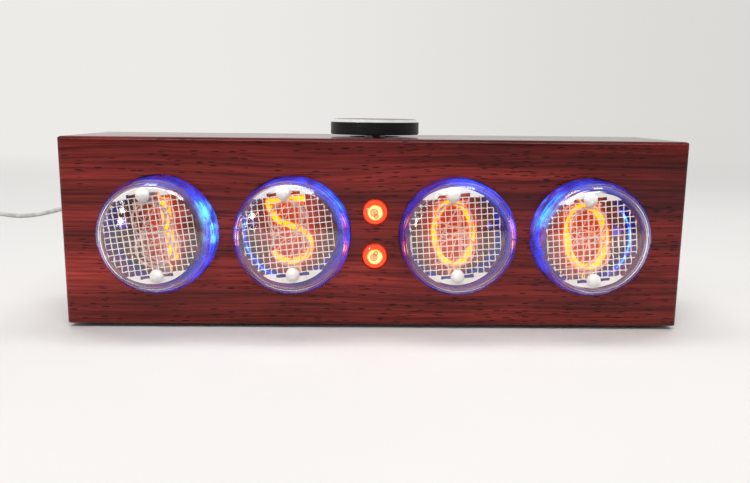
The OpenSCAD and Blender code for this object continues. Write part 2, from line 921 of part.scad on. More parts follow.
module reservoir_capacitor() {
    color("#2b2f55")
    translate([-column_x, board_back, mid_z - capacitor_drop])
        rotate([-90, 0, 0])
            rotate_extrude($fn = 48)
                polygon([
                    [0, 0], [capacitor_d / 2, 0], [capacitor_d / 2, bead_z],
                    [capacitor_d / 2 - bead_depth, bead_z + bead_h],
                    [capacitor_d / 2, bead_z + 2 * bead_h],
                    [capacitor_d / 2, capacitor_h - bead_depth],
                    [capacitor_d / 2 - bead_depth, capacitor_h], [0, capacitor_h]
                ]);
}

holder_wall = 0.9;
holder_floor = 1;
holder_lip = 1.2;
cell_lid_inset = 0.8;
cell_lid_rise = 0.3;
cell_edge = 0.2;

module cell_holder() {
    color("#1f2023")
    translate([column_x, board_back, mid_z])
        rotate([-90, 0, 0])
            difference() {
                cylinder(d = cell_d + 2 * (holder_wall + hole_gap), $fn = 64,
                         h = holder_floor + cell_t + holder_lip);
                translate([0, 0, holder_floor])
                    cylinder(d = cell_d + 2 * hole_gap, h = cell_t + holder_lip + over, $fn = 64);
                translate([-cell_d / 4, 0, holder_floor + cell_t / 2])
                    cube([cell_d / 2, cell_d, cell_t + holder_lip]);
            }
}

module backup_cell() {
    color("#c8cacc")
    translate([column_x, board_back + holder_floor, mid_z])
        rotate([-90, 0, 0])
            rotate_extrude($fn = 64)
                polygon([
                    [0, 0], [cell_d / 2 - cell_lid_inset - cell_edge, 0],
                    [cell_d / 2 - cell_lid_inset, cell_lid_rise], [cell_d / 2, cell_lid_rise],
                    [cell_d / 2, cell_t - cell_edge], [cell_d / 2 - cell_edge, cell_t],
                    [0, cell_t]
                ]);
}

// ---------------------------------------------------------------- encoder and knob

module at_knob(z) {
    translate([0, mid_y, z])
        children();
}

module encoder_body() {
    color("#3b3d42")
    difference() {
        union() {
            at_knob(encoder_z + encoder_h / 2)
                cube([encoder_w, encoder_l, encoder_h], center = true);
            at_knob(roof_z - over)
                cylinder(d = bushing_d, h = bushing_len + over, $fn = 48);
        }
        at_knob(encoder_z - over)
            cylinder(d = rotor_room_d, h = rotor_room_h + over, $fn = 48);
        at_knob(encoder_z)
            cylinder(d = shaft_d + 2 * run_gap, h = encoder_h + bushing_len + over, $fn = 48);
    }
}

module encoder_board() {
    color("#143d2a")
    at_knob(encoder_z - board_t / 2)
        cube([encoder_board_w, encoder_board_w, board_t], center = true);
}

module encoder_nut() {
    color("#b9bcc2")
    at_knob(top_z - nut_pocket_depth)
        difference() {
            cylinder(d = nut_af / cos(30), h = nut_t, $fn = 6);
            translate([0, 0, -over])
                cylinder(d = bushing_d + 2 * thread_gap, h = nut_t + 2 * over, $fn = 48);
        }
}

// Round section with one flat, which turns the rotor with the shaft
module shaft_section(gap) {
    difference() {
        circle(d = shaft_foot_d + 2 * gap, $fn = 48);
        translate([-shaft_foot_d, shaft_flat + gap])
            square([2 * shaft_foot_d, shaft_foot_d]);
    }
}

module encoder_rotor() {
    color("#d8d4c8")
    at_knob(rotor_z)
        linear_extrude(rotor_t)
            difference() {
                circle(d = rotor_room_d - 2 * air_gap, $fn = 48);
                shaft_section(run_gap);
            }
}

module encoder_shaft() {
    color("#b9bcc2")
    union() {
        at_knob(shaft_foot_z)
            linear_extrude(shoulder_z - shaft_foot_z + shaft_root)
                shaft_section(0);
        at_knob(shoulder_z)
            cylinder(d = shaft_d, h = shaft_top_z - shoulder_z, $fn = 48);
    }
}

module knob() {
    color("#17181a")
    at_knob(0)
        difference() {
            rotate_extrude($fn = 128)
                polygon([
                    [0, knob_z], [knob_d / 2 - knob_base_edge, knob_z],
                    [knob_d / 2, knob_z + knob_base_edge],
                    [knob_d / 2, knob_top_z - knob_chamfer],
                    [knob_d / 2 - knob_chamfer, knob_top_z], [0, knob_top_z]
                ]);
            difference() {
                translate([0, 0, knob_z - over])
                    cylinder(d = knob_d - 2 * knob_wall, h = hub_roof_z - knob_z + over, $fn = 96);
                translate([0, 0, knob_z - 2 * over])
                    cylinder(d = hub_d, h = knob_h + 2 * over, $fn = 64);
            }
            translate([0, 0, knob_z - over])
                cylinder(d = shaft_d + 2 * run_gap, h = hub_roof_z - knob_z + over, $fn = 48);
            rod_y(0, 0, grub_z, grub_hole_d, hub_d / 2 + over, 24);
            rod_y(0, hub_d / 2 + over, grub_z, grub_access_d, knob_d, 24);
        }
}

module knob_grub_screw() {
    color("#3a3b3e")
    at_knob(0)
        difference() {
            rod_y(0, shaft_d / 2 + run_gap, grub_z, grub_d, grub_len, 24);
            rod_y(0, shaft_d / 2 + grub_len - grub_socket, grub_z, grub_d / 2,
                  grub_socket + over, 6);
        }
}

// ---------------------------------------------------------------- power jack and plug

module power_jack() {
    color("#202124")
    difference() {
        union() {
            rod_y(jack_x, rear_y, jack_z, jack_flange_d, jack_flange_t);
            rod_y(jack_x, rear_y - jack_inside, jack_z, jack_thread_d, jack_inside + over);
        }
        difference() {
            rod_y(jack_x, rear_y - jack_inside + jack_floor_t, jack_z, jack_bore_d,
                  jack_inside + jack_flange_t);
            rod_y(jack_x, rear_y - jack_inside, jack_z, jack_pin_d,
                  jack_inside + jack_flange_t - jack_pin_sink, 32);
        }
    }
}

module power_jack_nut() {
    color("#b9bcc2")
    difference() {
        rod_y(jack_x, ledge_y - jack_nut_t, jack_z, jack_nut_af / cos(30), jack_nut_t, 6);
        rod_y(jack_x, ledge_y - jack_nut_t - over, jack_z, jack_thread_d + 2 * thread_gap,
              jack_nut_t + 2 * over);
    }
}

module plug_barrel() {
    color("#c9c6bd")
    difference() {
        rod_y(jack_x, rear_y + jack_flange_t - barrel_len, jack_z,
              jack_bore_d - 2 * run_gap, barrel_len + plug_gap + barrel_root);
        rod_y(jack_x, rear_y + jack_flange_t - barrel_len - over, jack_z,
              jack_pin_d + 2 * run_gap, barrel_len + over, 32);
    }
}

// The strain relief narrows in ribs from the plug to the lead
function relief_profile(len, d0, d1, ribs) = [
    for (k = [0:ribs - 1], p = [[0, 0], [0.55, 0], [0.6, 0.4], [0.95, 0.4]])
        [d0 / 2 + (d1 - d0) / 2 * k / ribs - p[1], (k + p[0]) * len / ribs]
];

module relief(len, d0, d1, ribs) {
    rotate_extrude($fn = 48)
        polygon(concat([[0, -relief_root], [d0 / 2, -relief_root]],
                       relief_profile(len, d0, d1, ribs), [[d1 / 2, len], [0, len]]));
}

module plug_body() {
    color("#d9d9d6")
    translate([jack_x, plug_face_y, jack_z])
        rotate([-90, 0, 0])
            difference() {
                union() {
                    rotate_extrude($fn = 64)
                        polygon([
                            [0, 0], [plug_d / 2 - plug_edge, 0], [plug_d / 2, plug_edge],
                            [plug_d / 2, plug_len - plug_taper_len],
                            [plug_d / 2 - plug_taper, plug_len], [0, plug_len]
                        ]);
                    translate([0, 0, plug_len])
                        relief(relief_len, relief_d, cord_d + 2 * relief_wall, relief_ribs);
                }
                translate([0, 0, -over])
                    cylinder(d = jack_bore_d - 2 * run_gap + 2 * seat_gap,
                             h = barrel_root + over, $fn = 48);
            }
}

// ---------------------------------------------------------------- free lead

// Point on a smooth curve through the route, where s counts its points
function route_point(p, s) =
    let (
        i = min(floor(s), len(p) - 2),
        t = s - i,
        a = p[max(i - 1, 0)],
        b = p[i],
        c = p[i + 1],
        d = p[min(i + 2, len(p) - 1)]
    )
    0.5 * (2 * b + (c - a) * t + (2 * a - 5 * b + 4 * c - d) * t * t
           + (3 * b - a - 3 * c + d) * t * t * t);

function smooth_route(p, n) = [for (s = [0:1 / n:len(p) - 1]) route_point(p, s)];

// Direction of a path at point i, where the two ends point square out
function heading(p, i) = unit(p[min(i + 1, len(p) - 1)] - p[max(i - 1, 0)]);

// A tube swept along points whose direction is never upright
module swept_tube(path, d, sides) {
    rings = len(path);
    points = [
        for (i = [0:rings - 1])
            let (t = heading(path, i), side = unit(cross(t, [0, 0, 1])), up = cross(side, t))
            for (k = [0:sides - 1])
                let (a = 360 * (k + 0.5) / sides)
                path[i] + d / 2 * (cos(a) * side + sin(a) * up)
    ];
    walls = [
        for (i = [0:rings - 2], k = [0:sides - 1])
            let (a = i * sides + k, b = i * sides + (k + 1) % sides)
            each [[a, a + sides, b], [b, a + sides, b + sides]]
    ];
    first_cap = [for (k = [1:sides - 2]) [0, k, k + 1]];
    end = (rings - 1) * sides;
    last_cap = [for (k = [1:sides - 2]) [end, end + k + 1, end + k]];
    polyhedron(points, concat(walls, first_cap, last_cap));
}

cord_path = [for (p = smooth_route(cord_points, cord_steps)) lead_start + p];

module cord() {
    color("#cfcdc8")
    swept_tube(cord_path, cord_d, cord_sides);
}

// The coil runs in, climbs a layer in the half turn where it reverses, and runs out again
coil_turns = 2 * coil_layer_turns;

function coil_radius(turn) =
    coil_outer_r - coil_step * (coil_layer_turns - abs(turn - coil_layer_turns));

function coil_climb(turn) =
    let (u = min(1, max(0, (turn - coil_layer_turns) * 2 + 0.5)))
    u * u * (3 - 2 * u);

coil_path = concat(
    [coil_start],
    [for (k = [0:coil_turns * coil_turn_rings])
        let (turn = k / coil_turn_rings, a = -90 - 360 * turn)
        [coil_centre[0] + coil_radius(turn) * cos(a), coil_centre[1] + coil_radius(turn) * sin(a),
         lie + coil_step * coil_climb(turn)]],
    [for (k = [1:3])
        [coil_centre[0] - coil_run_out * k / 3, coil_start[1], coil_top_z]]
);

module cord_coil() {
    color("#cfcdc8")
    swept_tube(coil_path, cord_d, coil_sides);
}

function total(list) = list * [for (x = list) 1];

function path_length(p) = total([for (i = [1:len(p) - 1]) norm(p[i] - p[i - 1])]);

// Least gap between two turns, measured between points at least half a turn apart
half_turn = coil_turn_rings / 2;
coil_least_gap = min([
    for (i = [0:len(coil_path) - 1], j = [i + half_turn:1:len(coil_path) - 1])
        norm(coil_path[i] - coil_path[j])
]) - cord_d;
lead_length = path_length(cord_path) + path_length(coil_path);
echo(lead_length = lead_length, coil_least_gap = coil_least_gap);

module at_supply_plug() {
    translate(coil_path[len(coil_path) - 1])
        rotate([0, -90, 0])
            children();
}

module supply_plug_body() {
    color("#d9d9d6")
    at_supply_plug() {
        translate([0, 0, supply_relief_len])
            linear_extrude(supply_body_len)
                rounded_square(supply_body_t, supply_body_w, supply_edge_r);
        translate([0, 0, supply_relief_len])
            mirror([0, 0, 1])
                relief(supply_relief_len, relief_d, cord_d + 2 * relief_wall, relief_ribs);
    }
}

module supply_plug_shell() {
    color("#b9bcc2")
    at_supply_plug()
        translate([0, 0, supply_relief_len + supply_body_len])
            linear_extrude(supply_shell_len)
                difference() {
                    square([supply_shell_t, supply_shell_w], center = true);
                    square([supply_shell_t - 2 * supply_shell_wall,
                            supply_shell_w - 2 * supply_shell_wall], center = true);
                }
}

// ---------------------------------------------------------------- assembly

wood_case();
rear_panel();
rear_screws();
threaded_inserts();
rubber_feet();
tube_glass(0);  // tube_1_glass
tube_base(0);  // tube_1_base
tube_pins(0);  // tube_1_pins
tube_anode(0);  // tube_1_anode
tube_posts(0);  // tube_1_posts
tube_cathodes(0);  // tube_1_cathodes
tube_lit_numeral(0);  // tube_1_lit_numeral
tube_glass(1);  // tube_2_glass
tube_base(1);  // tube_2_base
tube_pins(1);  // tube_2_pins
tube_anode(1);  // tube_2_anode
tube_posts(1);  // tube_2_posts
tube_cathodes(1);  // tube_2_cathodes
tube_lit_numeral(1);  // tube_2_lit_numeral
tube_glass(2);  // tube_3_glass
tube_base(2);  // tube_3_base
tube_pins(2);  // tube_3_pins
tube_anode(2);  // tube_3_anode
tube_posts(2);  // tube_3_posts
tube_cathodes(2);  // tube_3_cathodes
tube_lit_numeral(2);  // tube_3_lit_numeral
tube_glass(3);  // tube_4_glass
tube_base(3);  // tube_4_base
tube_pins(3);  // tube_4_pins
tube_anode(3);  // tube_4_anode
tube_posts(3);  // tube_4_posts
tube_cathodes(3);  // tube_4_cathodes
tube_lit_numeral(3);  // tube_4_lit_numeral
colon_lamp_glasses();
colon_lamp_electrodes();
display_board();
board_standoffs();
board_screws();
backlight_leds();
circuit_chips();
boost_inductor();
reservoir_capacitor();
cell_holder();
backup_cell();
encoder_body();
encoder_board();
encoder_nut();
encoder_rotor();
encoder_shaft();
knob();
knob_grub_screw();
power_jack();
power_jack_nut();
plug_barrel();
plug_body();
cord();
cord_coil();
supply_plug_body();
supply_plug_shell();
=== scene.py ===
"""Finishes, glow, power lead and stage of a desk clock with four end-view glow tubes."""

from math import cos, floor, pi, radians, sin

import bmesh
import bpy
from bpy.props import FloatProperty, FloatVectorProperty, IntProperty, PointerProperty
from mathutils import Matrix, Vector


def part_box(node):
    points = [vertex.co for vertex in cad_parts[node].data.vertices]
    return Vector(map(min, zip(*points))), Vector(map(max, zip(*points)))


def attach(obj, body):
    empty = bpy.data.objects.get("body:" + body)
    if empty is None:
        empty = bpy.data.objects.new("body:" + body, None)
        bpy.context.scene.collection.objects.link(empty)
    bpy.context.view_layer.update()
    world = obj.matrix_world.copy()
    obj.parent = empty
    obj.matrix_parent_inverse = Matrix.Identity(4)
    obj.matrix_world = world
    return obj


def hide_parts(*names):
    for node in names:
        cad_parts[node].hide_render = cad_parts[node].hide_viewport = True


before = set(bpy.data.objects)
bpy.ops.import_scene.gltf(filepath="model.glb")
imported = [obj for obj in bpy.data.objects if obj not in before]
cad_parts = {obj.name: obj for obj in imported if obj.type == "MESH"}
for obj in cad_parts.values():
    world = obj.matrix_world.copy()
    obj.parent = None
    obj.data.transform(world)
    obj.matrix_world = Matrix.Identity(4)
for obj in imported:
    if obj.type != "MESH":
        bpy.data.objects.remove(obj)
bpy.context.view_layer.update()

bl_info = {
    "name": "Glow Tube Clock",
    "version": (1, 0, 0),
    "blender": (4, 5, 0),
    "location": "View3D > Sidebar > Clock",
    "description": "Finishes, glow, power lead and stage of a desk clock with four glow tubes",
    "category": "Object",
}

MM = 0.001

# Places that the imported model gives
CASE_LOW, CASE_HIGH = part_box("wood_case")
FACE_Y = CASE_LOW.y
CASE_MID_Z = (CASE_LOW.z + CASE_HIGH.z) / 2
TUBES = (1, 2, 3, 4)
GLASS_R = (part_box("tube_1_glass")[1].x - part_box("tube_1_glass")[0].x) / 2
KNOB_LOW, KNOB_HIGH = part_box("knob")
LAMP_LOW, LAMP_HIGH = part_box("colon_lamp_glasses")
LAMP_R = (LAMP_HIGH.x - LAMP_LOW.x) / 2
LAMP_ZS = (LAMP_HIGH.z - LAMP_R, LAMP_LOW.z + LAMP_R)
# Roll of each tube in its hole, seen from the front, and the numeral that it shows
TUBE_ROLLS = {1: 7.5, 2: 6.1, 3: 4.3, 4: 5.5}
LIT_NUMERALS = {1: 1, 2: 5, 3: 0, 4: 0}
# How deep the glow reaches before and behind the lit numeral: most where it is last in the stack
GLOW_DEPTHS = {1: 6.5 * MM, 2: 3.2 * MM, 3: 3.4 * MM, 4: 3.8 * MM}
# How much wider than a usual one each glow spreads
GLOW_SPREADS = {1: 1.35, 2: 1.05, 3: 1.0, 4: 1.2}
# Half the width and height of a numeral, to the middle of its stroke
STROKE_HALF_W, STROKE_HALF_H = 5.075 * MM, 8.325 * MM
# Height of the meshed band of an anode
MESH_BAND = 20.0 * MM
# How far the glass's rounded shoulder stands out of the case
SHOULDER = 6.0 * MM
# Distance from streak to streak in the painted light of the glass, and half the angle that its
# painted spot takes up
STREAK_PITCH = 1.1 * MM
SPOT_HALF_ANGLE = radians(34)
# Painted arcs of blue light reflected in two of the domes: middle and radius in millimetres
# from the tube's axis, then the direction of its middle and half its span in degrees
DOME_ARCS = {2: (0.8, 2.2, 12.4, 207, 46), 4: (-3.4, 1.0, 11.2, -8, 56)}
# Painted faint reflections of the blue lamps in the shields: place and radius in millimetres
PAINTED_LAMP_REFLECTIONS = {1: (-10.8, 1.5, 2.2), 2: (-10.7, 1.2, 1.1), 3: (10.8, 1.3, 1.2),
               4: (10.5, 0.7, 2.0)}
# Loops that the electrodes' ends show in a colon lamp: place and radius in millimetres
LAMP_LOOPS = ((0.0, 0.3, 0.85), (0.0, 0.3, 0.3), (0.5, -0.7, 0.5))
# Glowing gas on a lamp's two electrodes: its middle off the lamp's axis, and its front and
# back before the case's face
LAMP_GAS = (("left", -0.7 * MM, -1.2 * MM), ("right", 0.75 * MM, -0.9 * MM))
GAS_R, GAS_BACK = 1.05 * MM, -7.0 * MM
PLUG_LOW, PLUG_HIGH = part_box("plug_body")
PLUG_END = Vector(((PLUG_LOW.x + PLUG_HIGH.x) / 2, PLUG_HIGH.y, (PLUG_LOW.z + PLUG_HIGH.z) / 2))


def linear(code):
    """The linear colour of an sRGB hex value."""
    values = [int(code[i:i + 2], 16) / 255 for i in (1, 3, 5)]
    return tuple(v / 12.92 if v <= 0.04045 else ((v + 0.055) / 1.055) ** 2.4 for v in values)


def tube_axis(tube, part="glass"):
    """Where the axis of a tube, or of one part in it, passes through the face of the case."""
    low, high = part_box(f"tube_{tube}_{part}")
    return Vector(((low.x + high.x) / 2, FACE_Y, (low.z + high.z) / 2))


# ------------------------------------------------------------------ sizes and colours

def colour(name, description, code):
    """The settings of a colour property."""
    return dict(name=name, description=description, subtype="COLOR", size=3, min=0, max=1,
                default=linear(code))


def length(name, description, mm):
    """The settings of a length property."""
    return dict(name=name, description=description, unit="LENGTH", subtype="DISTANCE",
                min=0, precision=5, default=mm * MM)


class ClockSizes(bpy.types.PropertyGroup):
    """Sizes that a user would change."""
    glow_width: FloatProperty(**length(
        "Glow width", "Width of the glowing gas round a lit numeral's stroke", 1.5))
    halo_width: FloatProperty(**length(
        "Halo width", "Width of the faint halo round the glow", 2.4))
    lead_diameter: FloatProperty(**length("Lead diameter", "Diameter of the power lead", 2.2))
    tie_width: FloatProperty(**length("Tie width", "Width of the tie round the coil", 5))
    pore_spacing: FloatProperty(**length(
        "Pore spacing", "Distance from pore to pore along the grain of the wood", 4.4))
    coil_turns: IntProperty(
        name="Coil turns", description="Turns in each layer of the coiled lead", default=4, min=1)


class ClockColours(bpy.types.PropertyGroup):
    """Colours that a user would change."""
    wood_light: FloatVectorProperty(**colour(
        "Light wood", "Lightest red of the wood", "#b03e34"))
    wood_mid: FloatVectorProperty(**colour("Wood", "Usual red of the wood", "#7e2823"))
    wood_dark: FloatVectorProperty(**colour("Dark wood", "Darkest bands of the wood", "#561a19"))
    edge_light: FloatVectorProperty(**colour(
        "Edge light", "Blue that the glass walls carry to the front", "#103ac0"))
    edge_spot: FloatVectorProperty(**colour(
        "Edge light spot", "Brightest blue on the glass walls", "#5ccaff"))
    glow: FloatVectorProperty(**colour("Glow", "Glow close to a lit numeral", "#ff8c08"))
    halo: FloatVectorProperty(**colour("Halo", "Faint glow further out", "#ff4a08"))
    lamp_core: FloatVectorProperty(**colour(
        "Lamp core", "Glow between the electrodes of a colon lamp", "#ffe9a0"))
    lamp_rim: FloatVectorProperty(**colour(
        "Lamp rim", "Glow at the rim of a colon lamp", "#e03a0c"))
    floor: FloatVectorProperty(**colour("Floor", "Colour of the floor", "#eae8e5"))
    backdrop: FloatVectorProperty(**colour("Backdrop", "Colour behind the clock", "#ecebe8"))


# ------------------------------------------------------------------ materials

# Settings that many nodes share: a range with soft ends, and a mix of colours
SMOOTH = {"interpolation_type": "SMOOTHSTEP"}
IN_COLOUR = {"data_type": "RGBA"}


def fill(node, values=None, **named):
    """Sets a node's properties and sockets, or links what feeds them.

    A word names a property, or a socket with underscores for spaces, and a number is a socket's
    place. A node feeds by its first output in use. A colour may be an sRGB hex value.
    """
    for name, value in {**named, **(values or {})}.items():
        if name == "stops":
            ramp = node.color_ramp
            while len(ramp.elements) < len(value):
                ramp.elements.new(1.0)
            for element, (place, shade) in zip(ramp.elements, value):
                element.position = place
                shade = linear(shade) if isinstance(shade, str) else shade
                element.color = (*shade[:3], 1.0)
            continue
        if isinstance(name, str) and hasattr(node, name):
            setattr(node, name, value)
            continue
        socket = node.inputs[name if isinstance(name, int) else name.replace("_", " ")]
        if isinstance(value, bpy.types.Node):
            value = next(output for output in value.outputs if output.enabled)
        if isinstance(value, bpy.types.NodeSocket):
            node.id_data.links.new(value, socket)
        else:
            socket.default_value = (*linear(value), 1.0) if isinstance(value, str) else value


def add(tree, kind, *values, at=None, **named):
    """Adds a node of a kind, such as Mix or Math ADD, where ADD is its operation.

    Values go to its sockets in order, or to the places that at gives.
    """
    kind, _, operation = kind.partition(" ")
    node = tree.nodes.new("ShaderNode" + kind)
    if operation:
        node.operation = operation
    fill(node, {**dict(enumerate(values)), **(at or {})}, **named)
    return node


def new_material(name, **sockets):
    """A material with one Principled shader."""
    material = bpy.data.materials.new(name)
    material.use_nodes = True
    tree = material.node_tree
    shader = tree.nodes["Principled BSDF"]
    fill(shader, **sockets)
    return material, tree, shader


def place_of(tree):
    """Position in the clock's own frame, in metres."""
    return add(tree, "TexCoord").outputs["Object"]


def from_point(tree, place, point, scale):
    """The way from a point to a place, the same way scaled, and the scaled way's length."""
    way = add(tree, "VectorMath SUBTRACT", place, point)
    scaled = add(tree, "VectorMath MULTIPLY", way, scale)
    return way, scaled, add(tree, "VectorMath LENGTH", scaled)


def ring_line(tree, way, ring_r, core, edge, top, **how):
    """A line round a circle, as bright as top out to core and gone at edge. In millimetres."""
    reach = add(tree, "VectorMath LENGTH", way)
    gap = add(tree, "Math SUBTRACT", reach, ring_r * MM)
    off = add(tree, "Math ABSOLUTE", gap)
    return add(tree, "MapRange", off, core * MM, edge * MM, top, 0.0, **how)


def grains(tree, size_mm, detail=2.0, place=None):
    """Noise whose features are as long, deep and high as size_mm says."""
    scaled = add(tree, "Mapping", place or place_of(tree), Scale=[1 / (MM * s) for s in size_mm])
    return add(tree, "TexNoise", scaled, Scale=1.0, Detail=detail)


def mottled(tree, size_mm, *shades, detail=2.0):
    """Shades that follow grains of one size, from the noise's low to its high places."""
    stops = [(0.3 + 0.4 * k / (len(shades) - 1), shade) for k, shade in enumerate(shades)]
    return add(tree, "ValToRGB", grains(tree, size_mm, detail), stops=stops)


def varnished_red_hardwood(colours, sizes):
    """Open-pored red hardwood, planed and thinly varnished.

    The eye reads straight fine streaks of red and brown, short black pores that run with them,
    and a top that turns into a pale mirror where it is seen along the surface.
    """
    material, tree, shader = new_material("varnished_red_hardwood", Specular_IOR_Level=0.2)
    place = place_of(tree)
    # The grain wavers by up to 4 mm across its length
    waver = grains(tree, (70, 40, 30), 1.0).outputs["Color"]
    bent = add(tree, "VectorMath MULTIPLY_ADD", waver, (0.0, 4.0 * MM, 4.0 * MM), place)

    # Painted shade: the front is lighter low down and darker towards the top, and it is also
    # darker towards the right
    height = add(tree, "SeparateXYZ", bent).outputs["Z"]
    along = add(tree, "SeparateXYZ", place).outputs["X"]
    painted_top_shade = add(tree, "MapRange", height, 8 * MM, 50 * MM, 0.17, -0.1)
    darker = add(tree, "MapRange", along, 0.0, 80 * MM, 0.0, -0.12)
    cut = add(tree, "Math ADD", painted_top_shade, darker)
    bands = add(tree, "Math ADD", grains(tree, (140, 18, 9), 3.0, bent), cut)
    shade = add(tree, "ValToRGB", bands, stops=[
        (0.34, colours.wood_dark), (0.5, colours.wood_mid), (0.7, colours.wood_light)])
    # Growth streaks, fibres and flecks, each a finer layer that darkens the one before
    for size_mm, low, high, dark in (
            ((60, 3.0, 1.1), 0.36, 0.52, (0.6, 0.54, 0.58)),
            ((24, 1.4, 0.5), 0.36, 0.52, (0.6, 0.54, 0.58)),
            ((7, 0.6, 0.26), 0.3, 0.6, (0.74, 0.7, 0.72))):
        layer = add(tree, "ValToRGB", grains(tree, size_mm, 3.0, bent),
                    stops=[(low, dark), (high, "#ffffff")])
        shade = add(tree, "Mix", 1.0, at={6: shade, 7: layer}, blend_type="MULTIPLY", **IN_COLOUR)

    # A darker band along the lower edge of the front with a sharp boundary, and painted shade that
    # deepens towards the foot
    low_edge = add(tree, "MapRange", height, 10.5 * MM, 11.3 * MM, 0.66, 1.0, **SMOOTH)
    painted_foot_shade = add(tree, "MapRange", height, 2.0 * MM, 8.0 * MM, 0.6, 1.0, **SMOOTH)
    edges = add(tree, "Math MULTIPLY", low_edge, painted_foot_shade)
    edged = add(tree, "VectorMath SCALE", shade, Scale=edges)

    # Pores: one dash in most cells of a stretched cell pattern, none in the rest
    spacing = sizes.pore_spacing
    cells_at = add(tree, "Mapping", bent, Scale=(1 / spacing, 7 / spacing, 8 / spacing))
    cells = add(tree, "TexVoronoi", cells_at, Scale=1.0, Randomness=1.0)
    near = add(tree, "MapRange", cells.outputs["Distance"], 0.2, 0.29, 1.0, 0.0)
    picked = add(tree, "SeparateColor", cells.outputs["Color"])
    # They crowd in patches, and towards the lower right of the case
    rightward = add(tree, "MapRange", along, -80 * MM, 10 * MM, -0.1, 0.03)
    downward = add(tree, "MapRange", height, 10 * MM, 40 * MM, 0.06, -0.02)
    bias = add(tree, "Math ADD", rightward, downward)
    crowd = add(tree, "Math ADD", grains(tree, (34, 14, 8), 2.0, bent), bias)
    crowded = add(tree, "MapRange", crowd, 0.34, 0.62, 0.02, 0.95)
    kept = add(tree, "Math LESS_THAN", picked, crowded)
    pores = add(tree, "Math MULTIPLY", near, kept)
    filled = add(tree, "Math MULTIPLY", pores, 0.9)
    finished = add(tree, "Mix", filled, at={6: edged, 7: "#120709"},
                   clamp_factor=True, **IN_COLOUR)

    sheen = add(tree, "MapRange", bands, 0.3, 0.7, 0.14, 0.22)
    relief = add(tree, "Bump", Height=pores, Distance=0.04 * MM, Strength=0.6, invert=True)
    fill(shader, Base_Color=finished, Roughness=sheen, Normal=relief)
    return material


def edge_lit_glass(colours, tube, spot_angle, spot_strength):
    """Clear blown glass with the blue light of the lamps behind it painted as a glow in its wall.

    The eye reads a clear dome inside a painted ring of deep blue streaks with one pale painted
    spot.
    """
    material, tree, shader = new_material(
        f"edge_lit_glass_{tube}", Base_Color="#ffffff", Roughness=0.0, IOR=1.5,
        Transmission_Weight=1.0, Specular_IOR_Level=0.35, Emission_Strength=1.0,
        Coat_Weight=0.25, Coat_Roughness=0.08)
    away, across, radius = from_point(tree, place_of(tree), tube_axis(tube), (1, 0, 1))
    x, depth, z = add(tree, "SeparateXYZ", away).outputs
    # The painted light lies only on the wall, from its rounded shoulder to behind the case's face
    wall = add(tree, "MapRange", radius, GLASS_R - 3.3 * MM, GLASS_R - 1.5 * MM, **SMOOTH)
    front = add(tree, "MapRange", depth, -10.0 * MM, -SHOULDER, **SMOOTH)
    rear = add(tree, "MapRange", depth, 0.5 * MM, 4.0 * MM, 1.0, 0.3, **SMOOTH)
    # Painted highlight: the glow is brighter on one side of the wall, with a pale spot there
    angle = add(tree, "Math", z, x, operation="ARCTAN2")
    turned = add(tree, "Math SUBTRACT", angle, radians(spot_angle))
    swing = add(tree, "Math COSINE", turned)
    side = add(tree, "MapRange", swing, -0.4, 1.0, 0.13, 0.4)
    spot = add(tree, "MapRange", swing, cos(SPOT_HALF_ANGLE), 1.0, 0.0, spot_strength, **SMOOTH)
    # Streaks of the painted light that run round the wall, and patches where the glass was blown
    # unevenly
    run = add(tree, "Math MULTIPLY", depth, 1 / STREAK_PITCH)
    streaks = add(tree, "TexNoise", add(tree, "CombineXYZ", angle, run), Scale=1.3, Detail=3.0)
    patches = grains(tree, (3.5, 5, 3.5), 3.0)
    uneven = add(tree, "Math MULTIPLY", streaks, patches)
    spread = add(tree, "MapRange", uneven, 0.14, 0.36, 0.15, 1.5)
    level = add(tree, "Math ADD", side, spot)
    lit = add(tree, "Math MULTIPLY", level, spread)
    tint = add(tree, "ValToRGB", lit, stops=[
        (0.0, "#000319"), (0.25, "#071255"), (0.6, colours.edge_light),
        (1.0, colours.edge_spot)])
    along = add(tree, "Math MULTIPLY", front, rear)
    where = add(tree, "Math MULTIPLY", wall, along)
    glow = add(tree, "VectorMath SCALE", tint, Scale=where)
    # Painted reflection: a thin blue arc of the wall's light in the dome
    if tube in DOME_ARCS:
        arc_light = dome_arc(tree, across, depth, colours, *DOME_ARCS[tube])
        glow = add(tree, "VectorMath ADD", glow, arc_light)
    # Thin glass shades what is in it very little
    shadow = add(tree, "LightPath").outputs["Is Shadow Ray"]
    clear = add(tree, "MapRange", shadow, 0.0, 1.0, 1.0, 0.12)
    fill(shader, Alpha=clear, Emission_Color=glow)
    return material


def dome_arc(tree, across, depth, colours, x, z, arc_r, middle, half_span):
    """A painted thin blue arc, a reflection of the wall's light in the dome. Sizes in millimetres.
    """
    out = add(tree, "VectorMath SUBTRACT", across, (x * MM, 0.0, z * MM))
    line = ring_line(tree, out, arc_r, 0.1, 0.5, 1.0, **SMOOTH)
    along = add(tree, "VectorMath NORMALIZE", out)
    middle_way = (cos(radians(middle)), 0.0, sin(radians(middle)))
    towards = add(tree, "VectorMath DOT_PRODUCT", along, middle_way)
    span = add(tree, "MapRange", towards, cos(radians(half_span)), cos(radians(half_span * 0.6)),
               **SMOOTH)
    dome = add(tree, "Math LESS_THAN", depth, -SHOULDER)
    level = add(tree, "MapRange", grains(tree, (2.5, 9, 2.5)), 0.35, 0.65, 0.15, 1.3)
    for part in (line, span, dome):
        level = add(tree, "Math MULTIPLY", level, part)
    return add(tree, "ValToRGB", level, stops=[
        (0.0, "#000000"), (0.6, colours.edge_light),
        (1.0, tuple(0.6 * c for c in colours.edge_spot))])


